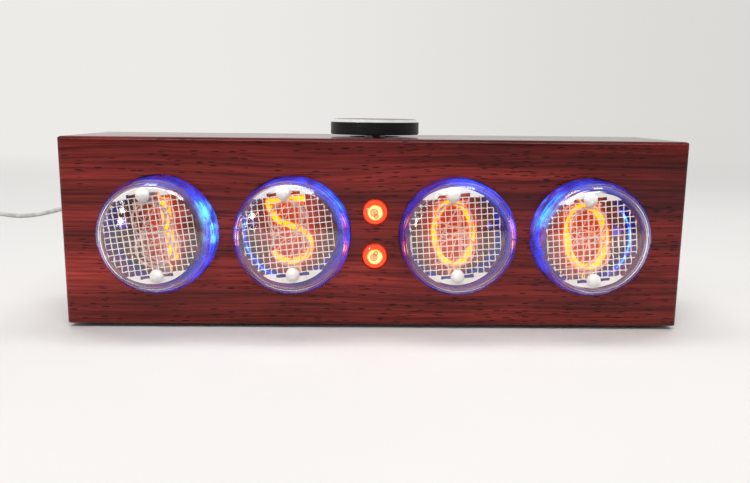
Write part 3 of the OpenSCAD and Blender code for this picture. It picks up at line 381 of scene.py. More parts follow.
def pressed_glass():
    """Pressed glass of the tube bases: thicker, a little rough, with a faint painted glow of blue
    lamp light in it.
    """
    material, tree, shader = new_material(
        "pressed_glass", Base_Color="#a0a2ad", IOR=1.5, Transmission_Weight=0.7,
        Emission_Color="#1430c0", Emission_Strength=0.4)
    fill(shader, Roughness=add(tree, "MapRange", grains(tree, (2, 2, 2)), 0.0, 1.0, 0.1, 0.3))
    return material


def etched_nickel(colours, tube):
    """Etched nickel sheet: pale satin mesh in front, and behind it a shield in dark brown-red,
    painted shade with a painted reflection of the wood.

    Painted red light of the lit numeral glows on the shield where the numeral stands in front of
    it.
    """
    material, tree, shader = new_material(
        f"etched_nickel_{tube}", Metallic=0.15, Emission_Strength=0.8)
    place = place_of(tree)
    depth = add(tree, "SeparateXYZ", place).outputs["Y"]
    # Painted shade and reflection: everything behind the mesh turns dark brown-red
    behind = add(tree, "MapRange", depth, FACE_Y - 4.5 * MM, FACE_Y - 2.0 * MM)
    bright = mottled(tree, (5, 5, 5), "#f0e8dd", "#fcf6ee", detail=1.0)
    brown = mottled(tree, (3, 3, 3), "#2c1614", "#5e2c24", "#8c5040", detail=3.0)

    # Painted shade: the narrow rim beside the mesh is as brown as the shield, the plain edges are
    # not
    roll = radians(TUBE_ROLLS[tube])
    low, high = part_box(f"tube_{tube}_anode")
    anode_r = (high.x - low.x) / 2
    _, flat, radius = from_point(tree, place, tube_axis(tube, "anode"), (1, 0, 1))
    up = add(tree, "VectorMath DOT_PRODUCT", flat, (-sin(roll), 0, cos(roll)))
    right = add(tree, "VectorMath DOT_PRODUCT", flat, (cos(roll), 0, sin(roll)))
    height = add(tree, "Math ABSOLUTE", up)
    spread = add(tree, "Math ABSOLUTE", right)
    on_rim = add(tree, "Math GREATER_THAN", radius, anode_r - 0.42 * MM)
    at_ear = add(tree, "Math GREATER_THAN", spread, anode_r - 1.1 * MM)
    beside = add(tree, "Math LESS_THAN", height, MESH_BAND / 2)
    rim = add(tree, "Math MULTIPLY", on_rim, beside)
    edge = add(tree, "Math MAXIMUM", rim, at_ear)
    painted_shade = add(tree, "Math MAXIMUM", behind, edge)
    tint = add(tree, "Mix", painted_shade, at={6: bright, 7: brown}, **IN_COLOUR)
    rough = add(tree, "MapRange", grains(tree, (1.5, 1.5, 1.5)), 0.0, 1.0, 0.3, 0.5)

    # Painted light: a patchy red glow of the lit numeral on the shield behind it
    low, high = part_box(f"tube_{tube}_lit_numeral")
    reach = 3.2 * MM
    middle = ((low.x + high.x) / 2, 0, (low.z + high.z) / 2)
    oval = (1 / ((high.x - low.x) / 2 + reach), 0.0, 1 / ((high.z - low.z) / 2 + reach))
    share = from_point(tree, place, middle, oval)[2]
    warm = add(tree, "MapRange", share, 0.3, 1.25, 1.0, 0.0, **SMOOTH)
    glow = add(tree, "Math MULTIPLY", warm, behind)
    patchy = add(tree, "Math MULTIPLY", glow, grains(tree, (2.4, 2.4, 2.4)))
    painted_numeral_glow = add(tree, "VectorMath SCALE", tuple(colours.halo), Scale=patchy)
    # Painted reflections of the blue lamps on the shield
    x, z, size = PAINTED_LAMP_REFLECTIONS[tube]
    from_image = add(tree, "VectorMath SUBTRACT", flat, (x * MM, 0.0, z * MM))
    distance = add(tree, "VectorMath LENGTH", from_image)
    painted_reflection = add(tree, "MapRange", distance, 0.2 * size * MM, size * MM, 1.2, 0.0, **SMOOTH)
    blue = add(tree, "Math MULTIPLY", painted_reflection, behind)
    mirrored = add(tree, "VectorMath SCALE", linear("#5a5ae0"), Scale=blue)
    both = add(tree, "VectorMath ADD", painted_numeral_glow, mirrored)
    fill(shader, Base_Color=tint, Roughness=rough, Emission_Color=both)
    return material


def fired_ceramic():
    """Fired ceramic: waxy warm white caps, with painted dark shade on the posts behind the anode.
    """
    material, tree, shader = new_material("fired_ceramic", Roughness=0.35)
    depth = add(tree, "SeparateXYZ", place_of(tree)).outputs["Y"]
    # Painted shade: the posts turn dark brown behind the anode
    anode_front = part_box("tube_1_anode")[0].y
    behind = add(tree, "MapRange", depth, anode_front, anode_front + 0.6 * MM)
    white = mottled(tree, (3, 3, 3), "#eee8df", "#fbf7f1")
    painted_shade = mottled(tree, (1.2, 2.5, 1.2), "#2e1c18", "#5a3a30")
    fill(shader, Base_Color=add(tree, "Mix", behind, at={6: white, 7: painted_shade}, **IN_COLOUR))
    return material


def glowing_metal():
    """The lit numeral's own sheet, hidden in the brightest glow."""
    material, tree, shader = new_material(
        "glowing_numeral", Base_Color="#956c3f", Roughness=0.5,
        Emission_Strength=2.0)
    fill(shader, Emission_Color=mottled(tree, (1.2, 1.2, 1.2), "#ffae10", "#ffbe30"))
    return material


def neon_glow(name, shade, strength, thickness):
    """Glowing neon round an electrode: light without a surface, patchy along the metal."""
    material, tree, shader = new_material(
        name, Base_Color="#000000", Roughness=1.0, Specular_IOR_Level=0.0,
        Emission_Strength=strength, Alpha=thickness)
    warm = add(tree, "MapRange", grains(tree, (1.6, 1.6, 1.6)), 0.3, 0.7, 0.8, 1.1)
    tint = add(tree, "VectorMath SCALE", tuple(shade)[:3], Scale=warm)
    fill(shader, Emission_Color=tint)
    return material


def lit_lamp_glass(colours):
    """Small blown bulb full of neon light: pale in the middle, red-orange at the rim."""
    material, tree, shader = new_material(
        "lit_lamp_glass", Base_Color="#bc593f", Roughness=0.04, IOR=1.5,
        Transmission_Weight=0.5, Emission_Strength=1.2)
    away = add(tree, "VectorMath SUBTRACT", place_of(tree), (0.0, FACE_Y, CASE_MID_Z))
    x, _, z = add(tree, "SeparateXYZ", away).outputs
    # Both lamps are folded onto one, as far above the middle as the other is below it
    up = add(tree, "Math ABSOLUTE", z)
    level = add(tree, "Math SUBTRACT", up, (LAMP_ZS[0] - LAMP_ZS[1]) / 2)
    flat = add(tree, "CombineXYZ", x, level)
    radius = add(tree, "VectorMath LENGTH", flat)
    share = add(tree, "Math DIVIDE", radius, LAMP_R)
    swirl = grains(tree, (1.5, 6, 1.5), 3.0)
    ring = add(tree, "Math MULTIPLY_ADD", swirl, 0.16, -0.08)
    wavy = add(tree, "Math ADD", share, ring)
    seen = add(tree, "ValToRGB", wavy, stops=[
        (0.0, "#fff0b0"), (0.52, "#ffe890"), (0.6, "#ff9a30"), (0.66, "#a8280c"),
        (0.76, "#e03210"), (0.88, colours.lamp_rim), (1.0, "#601006")])
    # The ends of the two electrodes show as dark red loops in the brightest part
    for x, z, loop_r in LAMP_LOOPS:
        to_loop = add(tree, "VectorMath SUBTRACT", flat, (x * MM, z * MM, 0.0))
        drift = add(tree, "VectorMath MULTIPLY_ADD", grains(tree, (2.2, 6, 2.2)).outputs["Color"],
                    (0.5 * MM, 0.5 * MM, 0.0), to_loop)
        loop = ring_line(tree, drift, loop_r, 0.1, 0.34, 0.85)
        seen = add(tree, "Mix", loop, at={6: seen, 7: "#a8380c"}, **IN_COLOUR)
    fill(shader, Emission_Color=seen)
    return material


def turned_black_anodised():
    """Black anodised aluminium, fine turned, with a diamond-cut bright chamfer."""
    material, tree, shader = new_material("turned_black_anodised", Specular_IOR_Level=0.25)
    place = place_of(tree)
    height = add(tree, "SeparateXYZ", place).outputs["Z"]
    axis = ((KNOB_LOW.x + KNOB_HIGH.x) / 2, (KNOB_LOW.y + KNOB_HIGH.y) / 2, 0.0)
    knob_r = (KNOB_HIGH.x - KNOB_LOW.x) / 2
    radius = from_point(tree, place, axis, (1, 1, 0))[2]
    high_up = add(tree, "Math GREATER_THAN", height, KNOB_HIGH.z - 0.82 * MM)
    far_out = add(tree, "Math GREATER_THAN", radius, knob_r - 0.86 * MM)
    cut = add(tree, "Math MULTIPLY", high_up, far_out)
    face = add(tree, "Math GREATER_THAN", height, KNOB_HIGH.z - 0.05 * MM)
    # Turning marks on the face and the side, drawn coarser than real ones so that they show
    waves = []
    for across, pitch in ((height, 0.3 * MM), (radius, 0.25 * MM)):
        turns = add(tree, "Math MULTIPLY", across, 2 * pi / pitch)
        waves.append(add(tree, "Math SINE", turns))
    marks = add(tree, "Mix", face, at={2: waves[0], 3: waves[1]}, data_type="FLOAT")
    dye = mottled(tree, (6, 6, 0.8), "#0c0c0e", "#18181a")
    bare = mottled(tree, (2, 2, 2), "#eef0f1", "#fdfdfd")
    tint = add(tree, "Mix", cut, at={6: dye, 7: bare}, **IN_COLOUR)
    rough = add(tree, "MapRange", cut, 0.0, 1.0, 0.42, 0.22)
    relief = add(tree, "Bump", Height=marks, Distance=0.006 * MM, Strength=0.5)
    fill(shader, Base_Color=tint, Metallic=cut, Roughness=rough, Normal=relief)
    return material


def green_solder_mask():
    """Green solder mask over copper: glossy, with faint tracks that show as lighter lines."""
    material, tree, shader = new_material("green_solder_mask", Roughness=0.28, Coat_Weight=0.4)
    tracks = add(tree, "TexBrick", place_of(tree), Scale=1 / (2.5 * MM), Mortar_Size=0.05,
                 Brick_Width=3.0, Row_Height=0.4, Color1="#123c26",
                 Color2="#103520", Mortar="#1e5c3a")
    relief = add(tree, "Bump", Height=tracks.outputs["Fac"], Distance=0.03 * MM)
    fill(shader, Base_Color=tracks, Normal=relief)
    return material


def diode_body():
    """White moulded diode body whose resin window glows blue towards the glass."""
    material, tree, shader = new_material("diode_body", Roughness=0.45, Emission_Strength=2.0)
    depth = add(tree, "SeparateXYZ", place_of(tree)).outputs["Y"]
    window_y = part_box("backlight_leds")[0].y + 0.3 * MM
    window = add(tree, "Math LESS_THAN", depth, window_y)
    light = add(tree, "VectorMath SCALE", linear("#3c50ff"), Scale=window)
    fill(shader, Base_Color=mottled(tree, (0.6, 0.6, 0.6), "#c9ced6", "#eef1f5"),
         Emission_Color=light)
    return material


# Finishes that vary over one grain: light and dark shade, the grain's size in millimetres,
# roughness from and to, relief in millimetres, and how metallic it is
SIMPLE_FINISHES = {
    # Cast acrylic sheet: deep black gloss with faint handling haze
    "cast_black_acrylic": ("#1a1b1d", "#0e0f10", (9, 9, 9), (0.1, 0.24), 0.0, 0.0),
    # Black oxide on steel: dull blue-black skin
    "black_oxide_steel": ("#3c3d41", "#232427", (0.8, 0.8, 0.8), (0.34, 0.55), 0.004, 1.0),
    # Turned brass: warm yellow with fine machining
    "turned_brass": ("#d8b25e", "#a9803a", (2.5, 0.15, 2.5), (0.22, 0.4), 0.003, 1.0),
    # Moulded rubber: matt black with a dusty bloom
    "moulded_rubber": ("#35353a", "#1c1c1f", (0.7, 0.7, 0.7), (0.75, 0.92), 0.02, 0.0),
    # Tinned wire: dull silver, a little uneven
    "tinned_wire": ("#d8d5cc", "#9d998e", (0.5, 1.5, 0.5), (0.25, 0.45), 0.004, 1.0),
    # Etched steel of the unlit numerals: pale satin edge that catches the glow
    "etched_steel": ("#eed8cc", "#c8a498", (0.6, 0.6, 0.6), (0.3, 0.5), 0.0, 0.25),
    # Zinc plate: bright grey with a bluish cast
    "zinc_plate": ("#c6c9cf", "#94989f", (1.2, 1.2, 1.2), (0.25, 0.42), 0.003, 1.0),
    # Moulded chip resin: matt charcoal with fine filler
    "chip_resin": ("#2e2f32", "#1b1c1e", (0.25, 0.25, 0.25), (0.55, 0.75), 0.01, 0.0),
    # Ground ferrite: dark grey stone, slightly sparkling
    "ground_ferrite": ("#5b5c60", "#3a3b3e", (0.3, 0.3, 0.3), (0.4, 0.65), 0.01, 0.4),
    # Shrink sleeve of the capacitor: thin glossy blue-black film
    "shrink_sleeve": ("#2a3060", "#1c2044", (3, 8, 3), (0.18, 0.32), 0.01, 0.0),
    # Moulded nylon: black, faintly mottled where it filled the mould
    "moulded_nylon": ("#252629", "#141517", (1.4, 1.4, 1.4), (0.45, 0.62), 0.008, 0.0),
    # Plated cell can: soft bright grey with drawing lines
    "plated_cell_can": ("#cfd1d2", "#a2a4a6", (6, 0.3, 6), (0.2, 0.36), 0.003, 1.0),
    # Die-cast encoder housing, blackened: dull charcoal with a fine cast grain
    "blackened_casting": ("#45464b", "#2c2d31", (0.6, 0.6, 0.6), (0.45, 0.7), 0.015, 0.6),
    # Moulded acetal: waxy ivory
    "moulded_acetal": ("#e6e1d2", "#cfc9b8", (2, 2, 2), (0.32, 0.45), 0.0, 0.0),
    # Turned aluminium shaft: soft silver with fine rings
    "turned_aluminium": ("#c9cbcf", "#a1a4a8", (2, 2, 0.12), (0.25, 0.4), 0.003, 1.0),
    # Nickel plated plug metal: warm silver, evenly satin
    "nickel_plate": ("#dad7d0", "#b2aea5", (1.5, 4, 1.5), (0.28, 0.4), 0.001, 1.0),
    # Flexible lead sheath: pale grey, soft sheen, slightly grimy
    "flexible_sheath": ("#d9d9d6", "#bcbcb8", (5, 5, 5), (0.42, 0.58), 0.012, 0.0),
    # Hook-and-loop tie: short black pile
    "woven_tie": ("#2b2c30", "#121315", (0.35, 0.35, 0.35), (0.8, 0.95), 0.08, 0.0),
}


def simple_finish(name):
    """A finish whose colour, roughness and relief follow grains of one size."""
    light, dark, size_mm, rough, relief_mm, metallic = SIMPLE_FINISHES[name]
    material, tree, shader = new_material(name, Metallic=metallic)
    noise = grains(tree, size_mm, 3.0)
    fill(shader, Base_Color=add(tree, "ValToRGB", noise, stops=[(0.35, dark), (0.65, light)]),
         Roughness=add(tree, "MapRange", noise, 0.3, 0.7, *rough))
    if relief_mm:
        fill(shader, Normal=add(tree, "Bump", Height=noise, Distance=relief_mm * MM, Strength=1.0))
    return material


def dress(material, *nodes):
    """Gives CAD nodes a material, and leaves their shapes alone."""
    for node in nodes:
        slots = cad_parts[node].data.materials
        slots.clear()
        slots.append(material)


# ------------------------------------------------------------------ meshes

def mesh_piece(name, material, bm, body="case"):
    """Turns a bmesh into a smooth piece that rides on a body."""
    bmesh.ops.recalc_face_normals(bm, faces=bm.faces)
    mesh = bpy.data.meshes.new(name)
    bm.to_mesh(mesh)
    bm.free()
    mesh.shade_smooth()
    mesh.materials.append(material)
    piece = bpy.data.objects.new(name, mesh)
    bpy.context.scene.collection.objects.link(piece)
    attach(piece, body)
    return piece


def swept(path, width, thickness, up, closed=False, sides=16):
    """A bmesh tube of oval section along a path. up is the direction of its thickness."""
    bm = bmesh.new()
    count = len(path)
    rings = []
    for i, point in enumerate(path):
        before = path[i - 1] if closed or i else point
        after = path[(i + 1) % count] if closed or i < count - 1 else point
        along = (after - before).normalized()
        side = along.cross(up).normalized()
        rings.append([
            bm.verts.new(point + side * (width / 2 * cos(a)) + up * (thickness / 2 * sin(a)))
            for a in (2 * pi * (k + 0.5) / sides for k in range(sides))
        ])
    spans = count if closed else count - 1
    for i in range(spans):
        one, two = rings[i], rings[(i + 1) % count]
        for k in range(sides):
            m = (k + 1) % sides
            bm.faces.new((one[k], one[m], two[m], two[k]))
    if not closed:
        bm.faces.new(rings[0])
        bm.faces.new(reversed(rings[-1]))
    return bm


def revolved(profile, at, steps=48):
    """A bmesh turned about an axis towards the viewer. Profile points are (radius, reach)."""
    bm = bmesh.new()
    rings = []
    for radius, reach in profile:
        if radius == 0:
            rings.append([bm.verts.new(at + Vector((0, -reach, 0)))] * steps)
            continue
        rings.append([
            bm.verts.new(at + Vector((radius * cos(a), -reach, radius * sin(a))))
            for a in (2 * pi * k / steps for k in range(steps))
        ])
    for one, two in zip(rings, rings[1:]):
        for k in range(steps):
            m = (k + 1) % steps
            corners = list(dict.fromkeys((one[k], one[m], two[m], two[k])))
            if len(corners) > 2:
                bm.faces.new(corners)
    return bm


# ------------------------------------------------------------------ lit numerals

def arc(cx, cy, rx, ry, start, end, count):
    """Points of an arc, angles in degrees."""
    angles = [radians(start + (end - start) * i / count) for i in range(count + 1)]
    return [(cx + rx * cos(a), cy + ry * sin(a)) for a in angles]


def numeral_line(numeral):
    """Middle line of a numeral's stroke, and whether it closes."""
    w, h = STROKE_HALF_W, STROKE_HALF_H
    if numeral == 0:
        return arc(0, 0, w, h, 0, 360 * 63 / 64, 63), True
    if numeral == 1:
        return [(0.48 * w, h * (1 - i / 12)) for i in range(25)], False
    # A 5: the round bowl from its tail, the neck that swings up to the left, then the flag
    bowl = arc(0, -0.45 * h, w, 0.55 * h, -165, 60, 28)
    neck = arc(0.04 * w, h, w, 0.78 * h, -100, -180, 12)
    return bowl + neck + [(0.95 * w, h)], False


def tube_point(tube, x, y, depth_y):
    """A point of the tube's own drawing plane in the clock's frame."""
    roll = radians(TUBE_ROLLS[tube])
    axis = tube_axis(tube, "anode")
    return Vector((axis.x + x * cos(roll) - y * sin(roll), depth_y,
                   axis.z + x * sin(roll) + y * cos(roll)))


def dense(points, step):
    """The same line with points no further apart than a step."""
    out = []
    for a, b in zip(points, points[1:]):
        pieces = max(1, round((b - a).length / step))
        out += [a.lerp(b, k / pieces) for k in range(pieces)]
    return out + [points[-1]]


class CLOCK_OT_case(bpy.types.Operator):
    """Finish the wooden case, its rear panel and its feet."""
    bl_idname = "clock.case"
    bl_label = "Case"

    def execute(self, context):
        scene = context.scene
        dress(varnished_red_hardwood(scene.clock_colours, scene.clock_sizes), "wood_case")
        dress(simple_finish("cast_black_acrylic"), "rear_panel")
        dress(simple_finish("black_oxide_steel"), "rear_screws", "knob_grub_screw")
        dress(simple_finish("turned_brass"), "threaded_inserts", "board_standoffs")
        dress(simple_finish("moulded_rubber"), "rubber_feet")
        return {"FINISHED"}


class CLOCK_OT_tubes(bpy.types.Operator):
    """Finish the glow tubes: glass, anode, posts, numerals and pins."""
    bl_idname = "clock.tubes"
    bl_label = "Glow Tubes"

    # Where the painted blue light is brightest on each glass wall, in degrees from the right, and
    # how much brighter it is there
    spots = {1: (14, 0.45), 2: (40, 0.12), 3: (65, 0.06), 4: (150, 0.16)}

    def execute(self, context):
        colours = context.scene.clock_colours
        shared = {
            "base": pressed_glass(), "pins": simple_finish("tinned_wire"),
            "posts": fired_ceramic(), "cathodes": simple_finish("etched_steel"),
            "lit_numeral": glowing_metal(),
        }
        for tube in TUBES:
            dress(edge_lit_glass(colours, tube, *self.spots[tube]), f"tube_{tube}_glass")
            dress(etched_nickel(colours, tube), f"tube_{tube}_anode")
            for part, material in shared.items():
                dress(material, f"tube_{tube}_{part}")
        return {"FINISHED"}


class CLOCK_OT_glow(bpy.types.Operator):
    """Add the glowing gas round each lit numeral."""
    bl_idname = "clock.glow"
    bl_label = "Neon Glow"

    def execute(self, context):
        colours, sizes = context.scene.clock_colours, context.scene.clock_sizes
        layers = {
            "glow": (sizes.glow_width, 0.0, neon_glow("neon_glow", colours.glow, 4.6, 0.9)),
            "halo": (sizes.halo_width, 1.2 * MM, neon_glow("neon_halo", colours.halo, 1.3, 0.3)),
        }
        toward = Vector((0, 1, 0))
        for tube in TUBES:
            low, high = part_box(f"tube_{tube}_lit_numeral")
            line, closed = numeral_line(LIT_NUMERALS[tube])
            points = [tube_point(tube, x, y, (low.y + high.y) / 2) for x, y in line]
            path = points if closed else dense(points, 0.4 * MM)
            for layer, (width, deeper, material) in layers.items():
                bm = swept(path, width * GLOW_SPREADS[tube], GLOW_DEPTHS[tube] + deeper,
                           toward, closed)
                mesh_piece(f"tube_{tube}_{layer}", material, bm)
        return {"FINISHED"}


class CLOCK_OT_colon(bpy.types.Operator):
    """Finish the two colon lamps and add the glow round their electrodes."""
    bl_idname = "clock.colon"
    bl_label = "Colon Lamps"

    def execute(self, context):
        colours = context.scene.clock_colours
        dress(lit_lamp_glass(colours), "colon_lamp_glasses")
        dress(bpy.data.materials["tinned_wire"], "colon_lamp_electrodes")
        core = neon_glow("lamp_gas", colours.lamp_core, 2.2, 0.8)
        quarter = [radians(a) for a in range(0, 91, 15)]
        for name, z in zip(("upper", "lower"), LAMP_ZS):
            for side, x, reach in LAMP_GAS:
                # A rod with a round nose and a round tail
                front = [(GAS_R * sin(a), reach + GAS_R * cos(a)) for a in quarter]
                rear = [(GAS_R * cos(a), GAS_BACK - GAS_R * sin(a)) for a in quarter]
                rear[-1] = (0, rear[-1][1])
                front[0] = (0, front[0][1])
                bm = revolved(front + rear, Vector((x, FACE_Y, z)), 32)
                mesh_piece(f"{name}_lamp_gas_{side}", core, bm)
        return {"FINISHED"}


class CLOCK_OT_electronics(bpy.types.Operator):
    """Finish the boards, chips, cell and encoder inside the case."""
    bl_idname = "clock.electronics"
    bl_label = "Electronics"

    def execute(self, context):
        dress(green_solder_mask(), "display_board", "encoder_board")
        dress(diode_body(), "backlight_leds")
        dress(simple_finish("zinc_plate"), "board_screws", "power_jack_nut")
        dress(bpy.data.materials["black_oxide_steel"], "encoder_nut")
        dress(simple_finish("chip_resin"), "circuit_chips")
        dress(simple_finish("ground_ferrite"), "boost_inductor")
        dress(simple_finish("shrink_sleeve"), "reservoir_capacitor")
        dress(simple_finish("moulded_nylon"), "cell_holder", "power_jack")
        dress(simple_finish("plated_cell_can"), "backup_cell")
        dress(simple_finish("blackened_casting"), "encoder_body")
        dress(simple_finish("moulded_acetal"), "encoder_rotor")
        return {"FINISHED"}


class CLOCK_OT_knob(bpy.types.Operator):
    """Finish the knob and its shaft."""
    bl_idname = "clock.knob"
    bl_label = "Knob"

    def execute(self, context):
        dress(turned_black_anodised(), "knob")
        dress(simple_finish("turned_aluminium"), "encoder_shaft")
        return {"FINISHED"}


# ------------------------------------------------------------------ power lead

# Height of the lead's middle where it lies on the table, and at the plug, in millimetres
LEAD_LIE = 1.1
JACK_HEIGHT = PLUG_END.z / MM
# The lead's route in millimetres, from the end of the plug, with heights from the table
LEAD_POINTS = [
    (0, 0, JACK_HEIGHT), (0, 6, JACK_HEIGHT), (0, 13, JACK_HEIGHT - 1), (-1, 21, 12),
    (-2, 29, 8), (-3, 37, 4.4), (-5, 46, 1.9),
] + [(x, y, LEAD_LIE) for x, y in (
    (-8, 56), (-14, 71), (-23, 88), (-34, 105), (-46, 122), (-58, 139), (-70, 156), (-82, 171),
    (-93, 181), (-104, 185), (-113, 181), (-118, 171), (-120, 159), (-122.5, 148),
    (-128, 142.5), (-135, 145), (-143, 150.5), (-153, 155), (-164, 157), (-175, 157))]
LEAD_STEPS = 5
# The coil in millimetres: its outer turn, its step from turn to turn and layer to layer, the
# straight runs into and out of it, and the points in each turn
COIL_RADIUS = 17.5
COIL_STEP = 2.7
COIL_LEAD_IN = 3.0
COIL_RUN_OUT = 17.0
COIL_RINGS = 40
# The tie in millimetres: its middle from the middle of the outermost lead, its thickness, its
# corners and its height over the table
TIE_OFF = LEAD_LIE + 0.3
TIE_THICKNESS = 0.45
TIE_CORNER = 1.3
TIE_LIFT = 0.25


def route_point(points, s):
    """Point on a smooth curve through the route, where s counts its points."""
    i = min(floor(s), len(points) - 2)
    t = s - i
    a, b = points[max(i - 1, 0)], points[i]
    c, d = points[i + 1], points[min(i + 2, len(points) - 1)]
    return 0.5 * (2 * b + (c - a) * t + (2 * a - 5 * b + 4 * c - d) * t * t
                  + (3 * b - a - 3 * c + d) * t * t * t)


def coil_point(turn, turns, centre):
    """Point of the coil, which winds in, climbs a layer as it turns back, and winds out."""
    radius = COIL_RADIUS - COIL_STEP * (turns - abs(turn - turns))
    rise = min(1.0, max(0.0, (turn - turns) * 2 + 0.5))
    angle = -pi / 2 - 2 * pi * turn
    return Vector((centre.x + radius * cos(angle), centre.y + radius * sin(angle),
                   LEAD_LIE + COIL_STEP * rise * rise * (3 - 2 * rise)))


def lead_path(turns):
    """The whole lead in metres, from the plug to the plug at its far end."""
    points = [Vector(p) for p in LEAD_POINTS]
    count = (len(points) - 1) * LEAD_STEPS
    path = [route_point(points, k / LEAD_STEPS) for k in range(count + 1)]
    centre = points[-1] + Vector((-COIL_LEAD_IN, COIL_RADIUS, 0))
    rings = 2 * turns * COIL_RINGS
    path += [coil_point(k / COIL_RINGS, turns, centre) for k in range(rings + 1)]
    top = LEAD_LIE + COIL_STEP
    path += [Vector((centre.x - COIL_RUN_OUT * k / 4, points[-1].y, top)) for k in range(1, 5)]
    start = Vector((PLUG_END.x, PLUG_END.y, 0.0))
    return [start + p * MM for p in path], start + centre * MM


def coil_tie(material, centre, width, turns):
    """A strap round the coil's section, on its left, a quarter of a turn from its start."""
    inner = (COIL_RADIUS - COIL_STEP * (turns - 0.75) - TIE_OFF) * MM
    outer = (COIL_RADIUS - COIL_STEP * 0.25 + TIE_OFF) * MM
    low, high = TIE_LIFT * MM, (LEAD_LIE + COIL_STEP + TIE_OFF) * MM
    corner = TIE_CORNER * MM
    outline = []
    for x, z, start in ((outer - corner, high - corner, 0), (inner + corner, high - corner, 90),
                        (inner + corner, low + corner, 180), (outer - corner, low + corner, 270)):
        outline += [Vector((-x - corner * cos(radians(a)), 0, z + corner * sin(radians(a))))
                    for a in range(start, start + 91, 18)]
    base = Vector((centre.x, centre.y, 0))
    path = [base + p for p in outline]
    bm = swept(path, TIE_THICKNESS * MM, width, Vector((0, 1, 0)), closed=True, sides=12)
    return mesh_piece("lead_tie", material, bm)


class CLOCK_OT_lead(bpy.types.Operator):
    """Lay the power lead from its plug to the coil, and finish both plugs."""
    bl_idname = "clock.lead"
    bl_label = "Power Lead"

    def execute(self, context):
        sizes = context.scene.clock_sizes
        path, centre = lead_path(sizes.coil_turns)
        curve = bpy.data.curves.new("power_lead", "CURVE")
        curve.dimensions = "3D"
        curve.bevel_depth = sizes.lead_diameter / 2
        curve.bevel_resolution = 5
        curve.use_fill_caps = True
        spline = curve.splines.new("POLY")
        spline.points.add(len(path) - 1)
        for point, place in zip(spline.points, path):
            point.co = (*place, 1.0)
        spline.use_smooth = True
        sheath = simple_finish("flexible_sheath")
        curve.materials.append(sheath)
        lead = bpy.data.objects.new("power_lead", curve)
        context.scene.collection.objects.link(lead)
        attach(lead, "case")
        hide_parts("cord", "cord_coil")
        dress(sheath, "plug_body", "supply_plug_body")
        dress(simple_finish("nickel_plate"), "plug_barrel", "supply_plug_shell")
        tie = coil_tie(simple_finish("woven_tie"), centre, sizes.tie_width, sizes.coil_turns)
        return {"FINISHED"}


# ------------------------------------------------------------------ stage

# The camera that the clock was seen with: its place, its aim down, to the right and rolled,
# and its lens in millimetres on a sensor 36 mm wide
CAMERA_AT = Vector((-3.88, -213.18, 59.44)) * MM
CAMERA_DOWN = radians(9.993)
CAMERA_RIGHT = radians(1.134)
CAMERA_ROLL = radians(0.627)
CAMERA_LENS = 35.70
SENSOR_WIDTH = 36.0
# Softboxes: width and height, place, the point that each faces, its watts, and whether mirrors
# show it
SOFTBOXES = {
    "front_softbox": ((0.9, 0.15), (0.0, -0.6, 0.83), (0, 0, 0.02), 5.2, True),
    "top_softbox": ((1.0, 0.25), (0.0, 0.2, 1.1), (0, 0, 0.0), 6.0, False),
    "window": ((0.15, 1.2), (-2.04, -2.15, 0.57), (0, 0, 0.03), 6.0, True),
}


def camera_matrix():
    """The camera's place and its three axes."""
    forward = Vector((sin(CAMERA_RIGHT) * cos(CAMERA_DOWN), cos(CAMERA_RIGHT) * cos(CAMERA_DOWN),
                      -sin(CAMERA_DOWN)))
    level = Vector((cos(CAMERA_RIGHT), -sin(CAMERA_RIGHT), 0))
    upright = level.cross(forward)
    right = level * cos(CAMERA_ROLL) + upright * sin(CAMERA_ROLL)
    up = upright * cos(CAMERA_ROLL) - level * sin(CAMERA_ROLL)
    matrix = Matrix((right, up, -forward)).transposed().to_4x4()
    matrix.translation = CAMERA_AT
    return matrix


def seen_or_mirrored(tree):
    """1 for rays from the camera, from a mirror and through glass, else 0."""
    rays = add(tree, "LightPath").outputs
    either = add(tree, "Math MAXIMUM", rays["Is Camera Ray"], rays["Is Glossy Ray"])
    return add(tree, "Math MAXIMUM", either, rays["Is Transmission Ray"])


def backdrop_shade(tree, colours, direction):
    """The backdrop's colour in a direction from the clock, a little dimmer on the right."""
    side = add(tree, "SeparateXYZ", direction).outputs["X"]
    right = add(tree, "MapRange", side, -0.25, 0.5, **SMOOTH)
    dim = tuple(0.84 * c for c in colours.backdrop)
    return add(tree, "Mix", right, at={6: (*colours.backdrop, 1), 7: (*dim, 1)}, **IN_COLOUR)


def floor_paper(colours):
    """Pale paper floor: matt near the clock, and the backdrop's own colour far from it."""
    material, tree, shader = new_material("floor_paper", Roughness=0.75, Specular_IOR_Level=0.25)
    pale = tuple(colours.floor)
    fill(shader, Base_Color=mottled(tree, (120, 120, 120), tuple(0.97 * c for c in pale), pale))
    place = place_of(tree)
    direction = add(tree, "VectorMath NORMALIZE", place)
    far = add(tree, "Emission", backdrop_shade(tree, colours, direction), Strength=1.0)
    # It turns into the backdrop from 0.1 m behind the clock, and from 0.5 m all round it where
    # the camera sees it
    depth = add(tree, "SeparateXYZ", place).outputs["Y"]
    behind = add(tree, "MapRange", depth, 0.1, 0.8, **SMOOTH)
    back = add(tree, "Math MULTIPLY", behind, seen_or_mirrored(tree))
    distance = add(tree, "VectorMath LENGTH", place)
    around = add(tree, "MapRange", distance, 0.5, 1.5, **SMOOTH)
    camera_ray = add(tree, "LightPath").outputs["Is Camera Ray"]
    seen = add(tree, "Math MULTIPLY", around, camera_ray)
    share = add(tree, "Math MAXIMUM", back, seen)
    fill(tree.nodes["Material Output"], Surface=add(tree, "MixShader", share, shader, far))
    return material


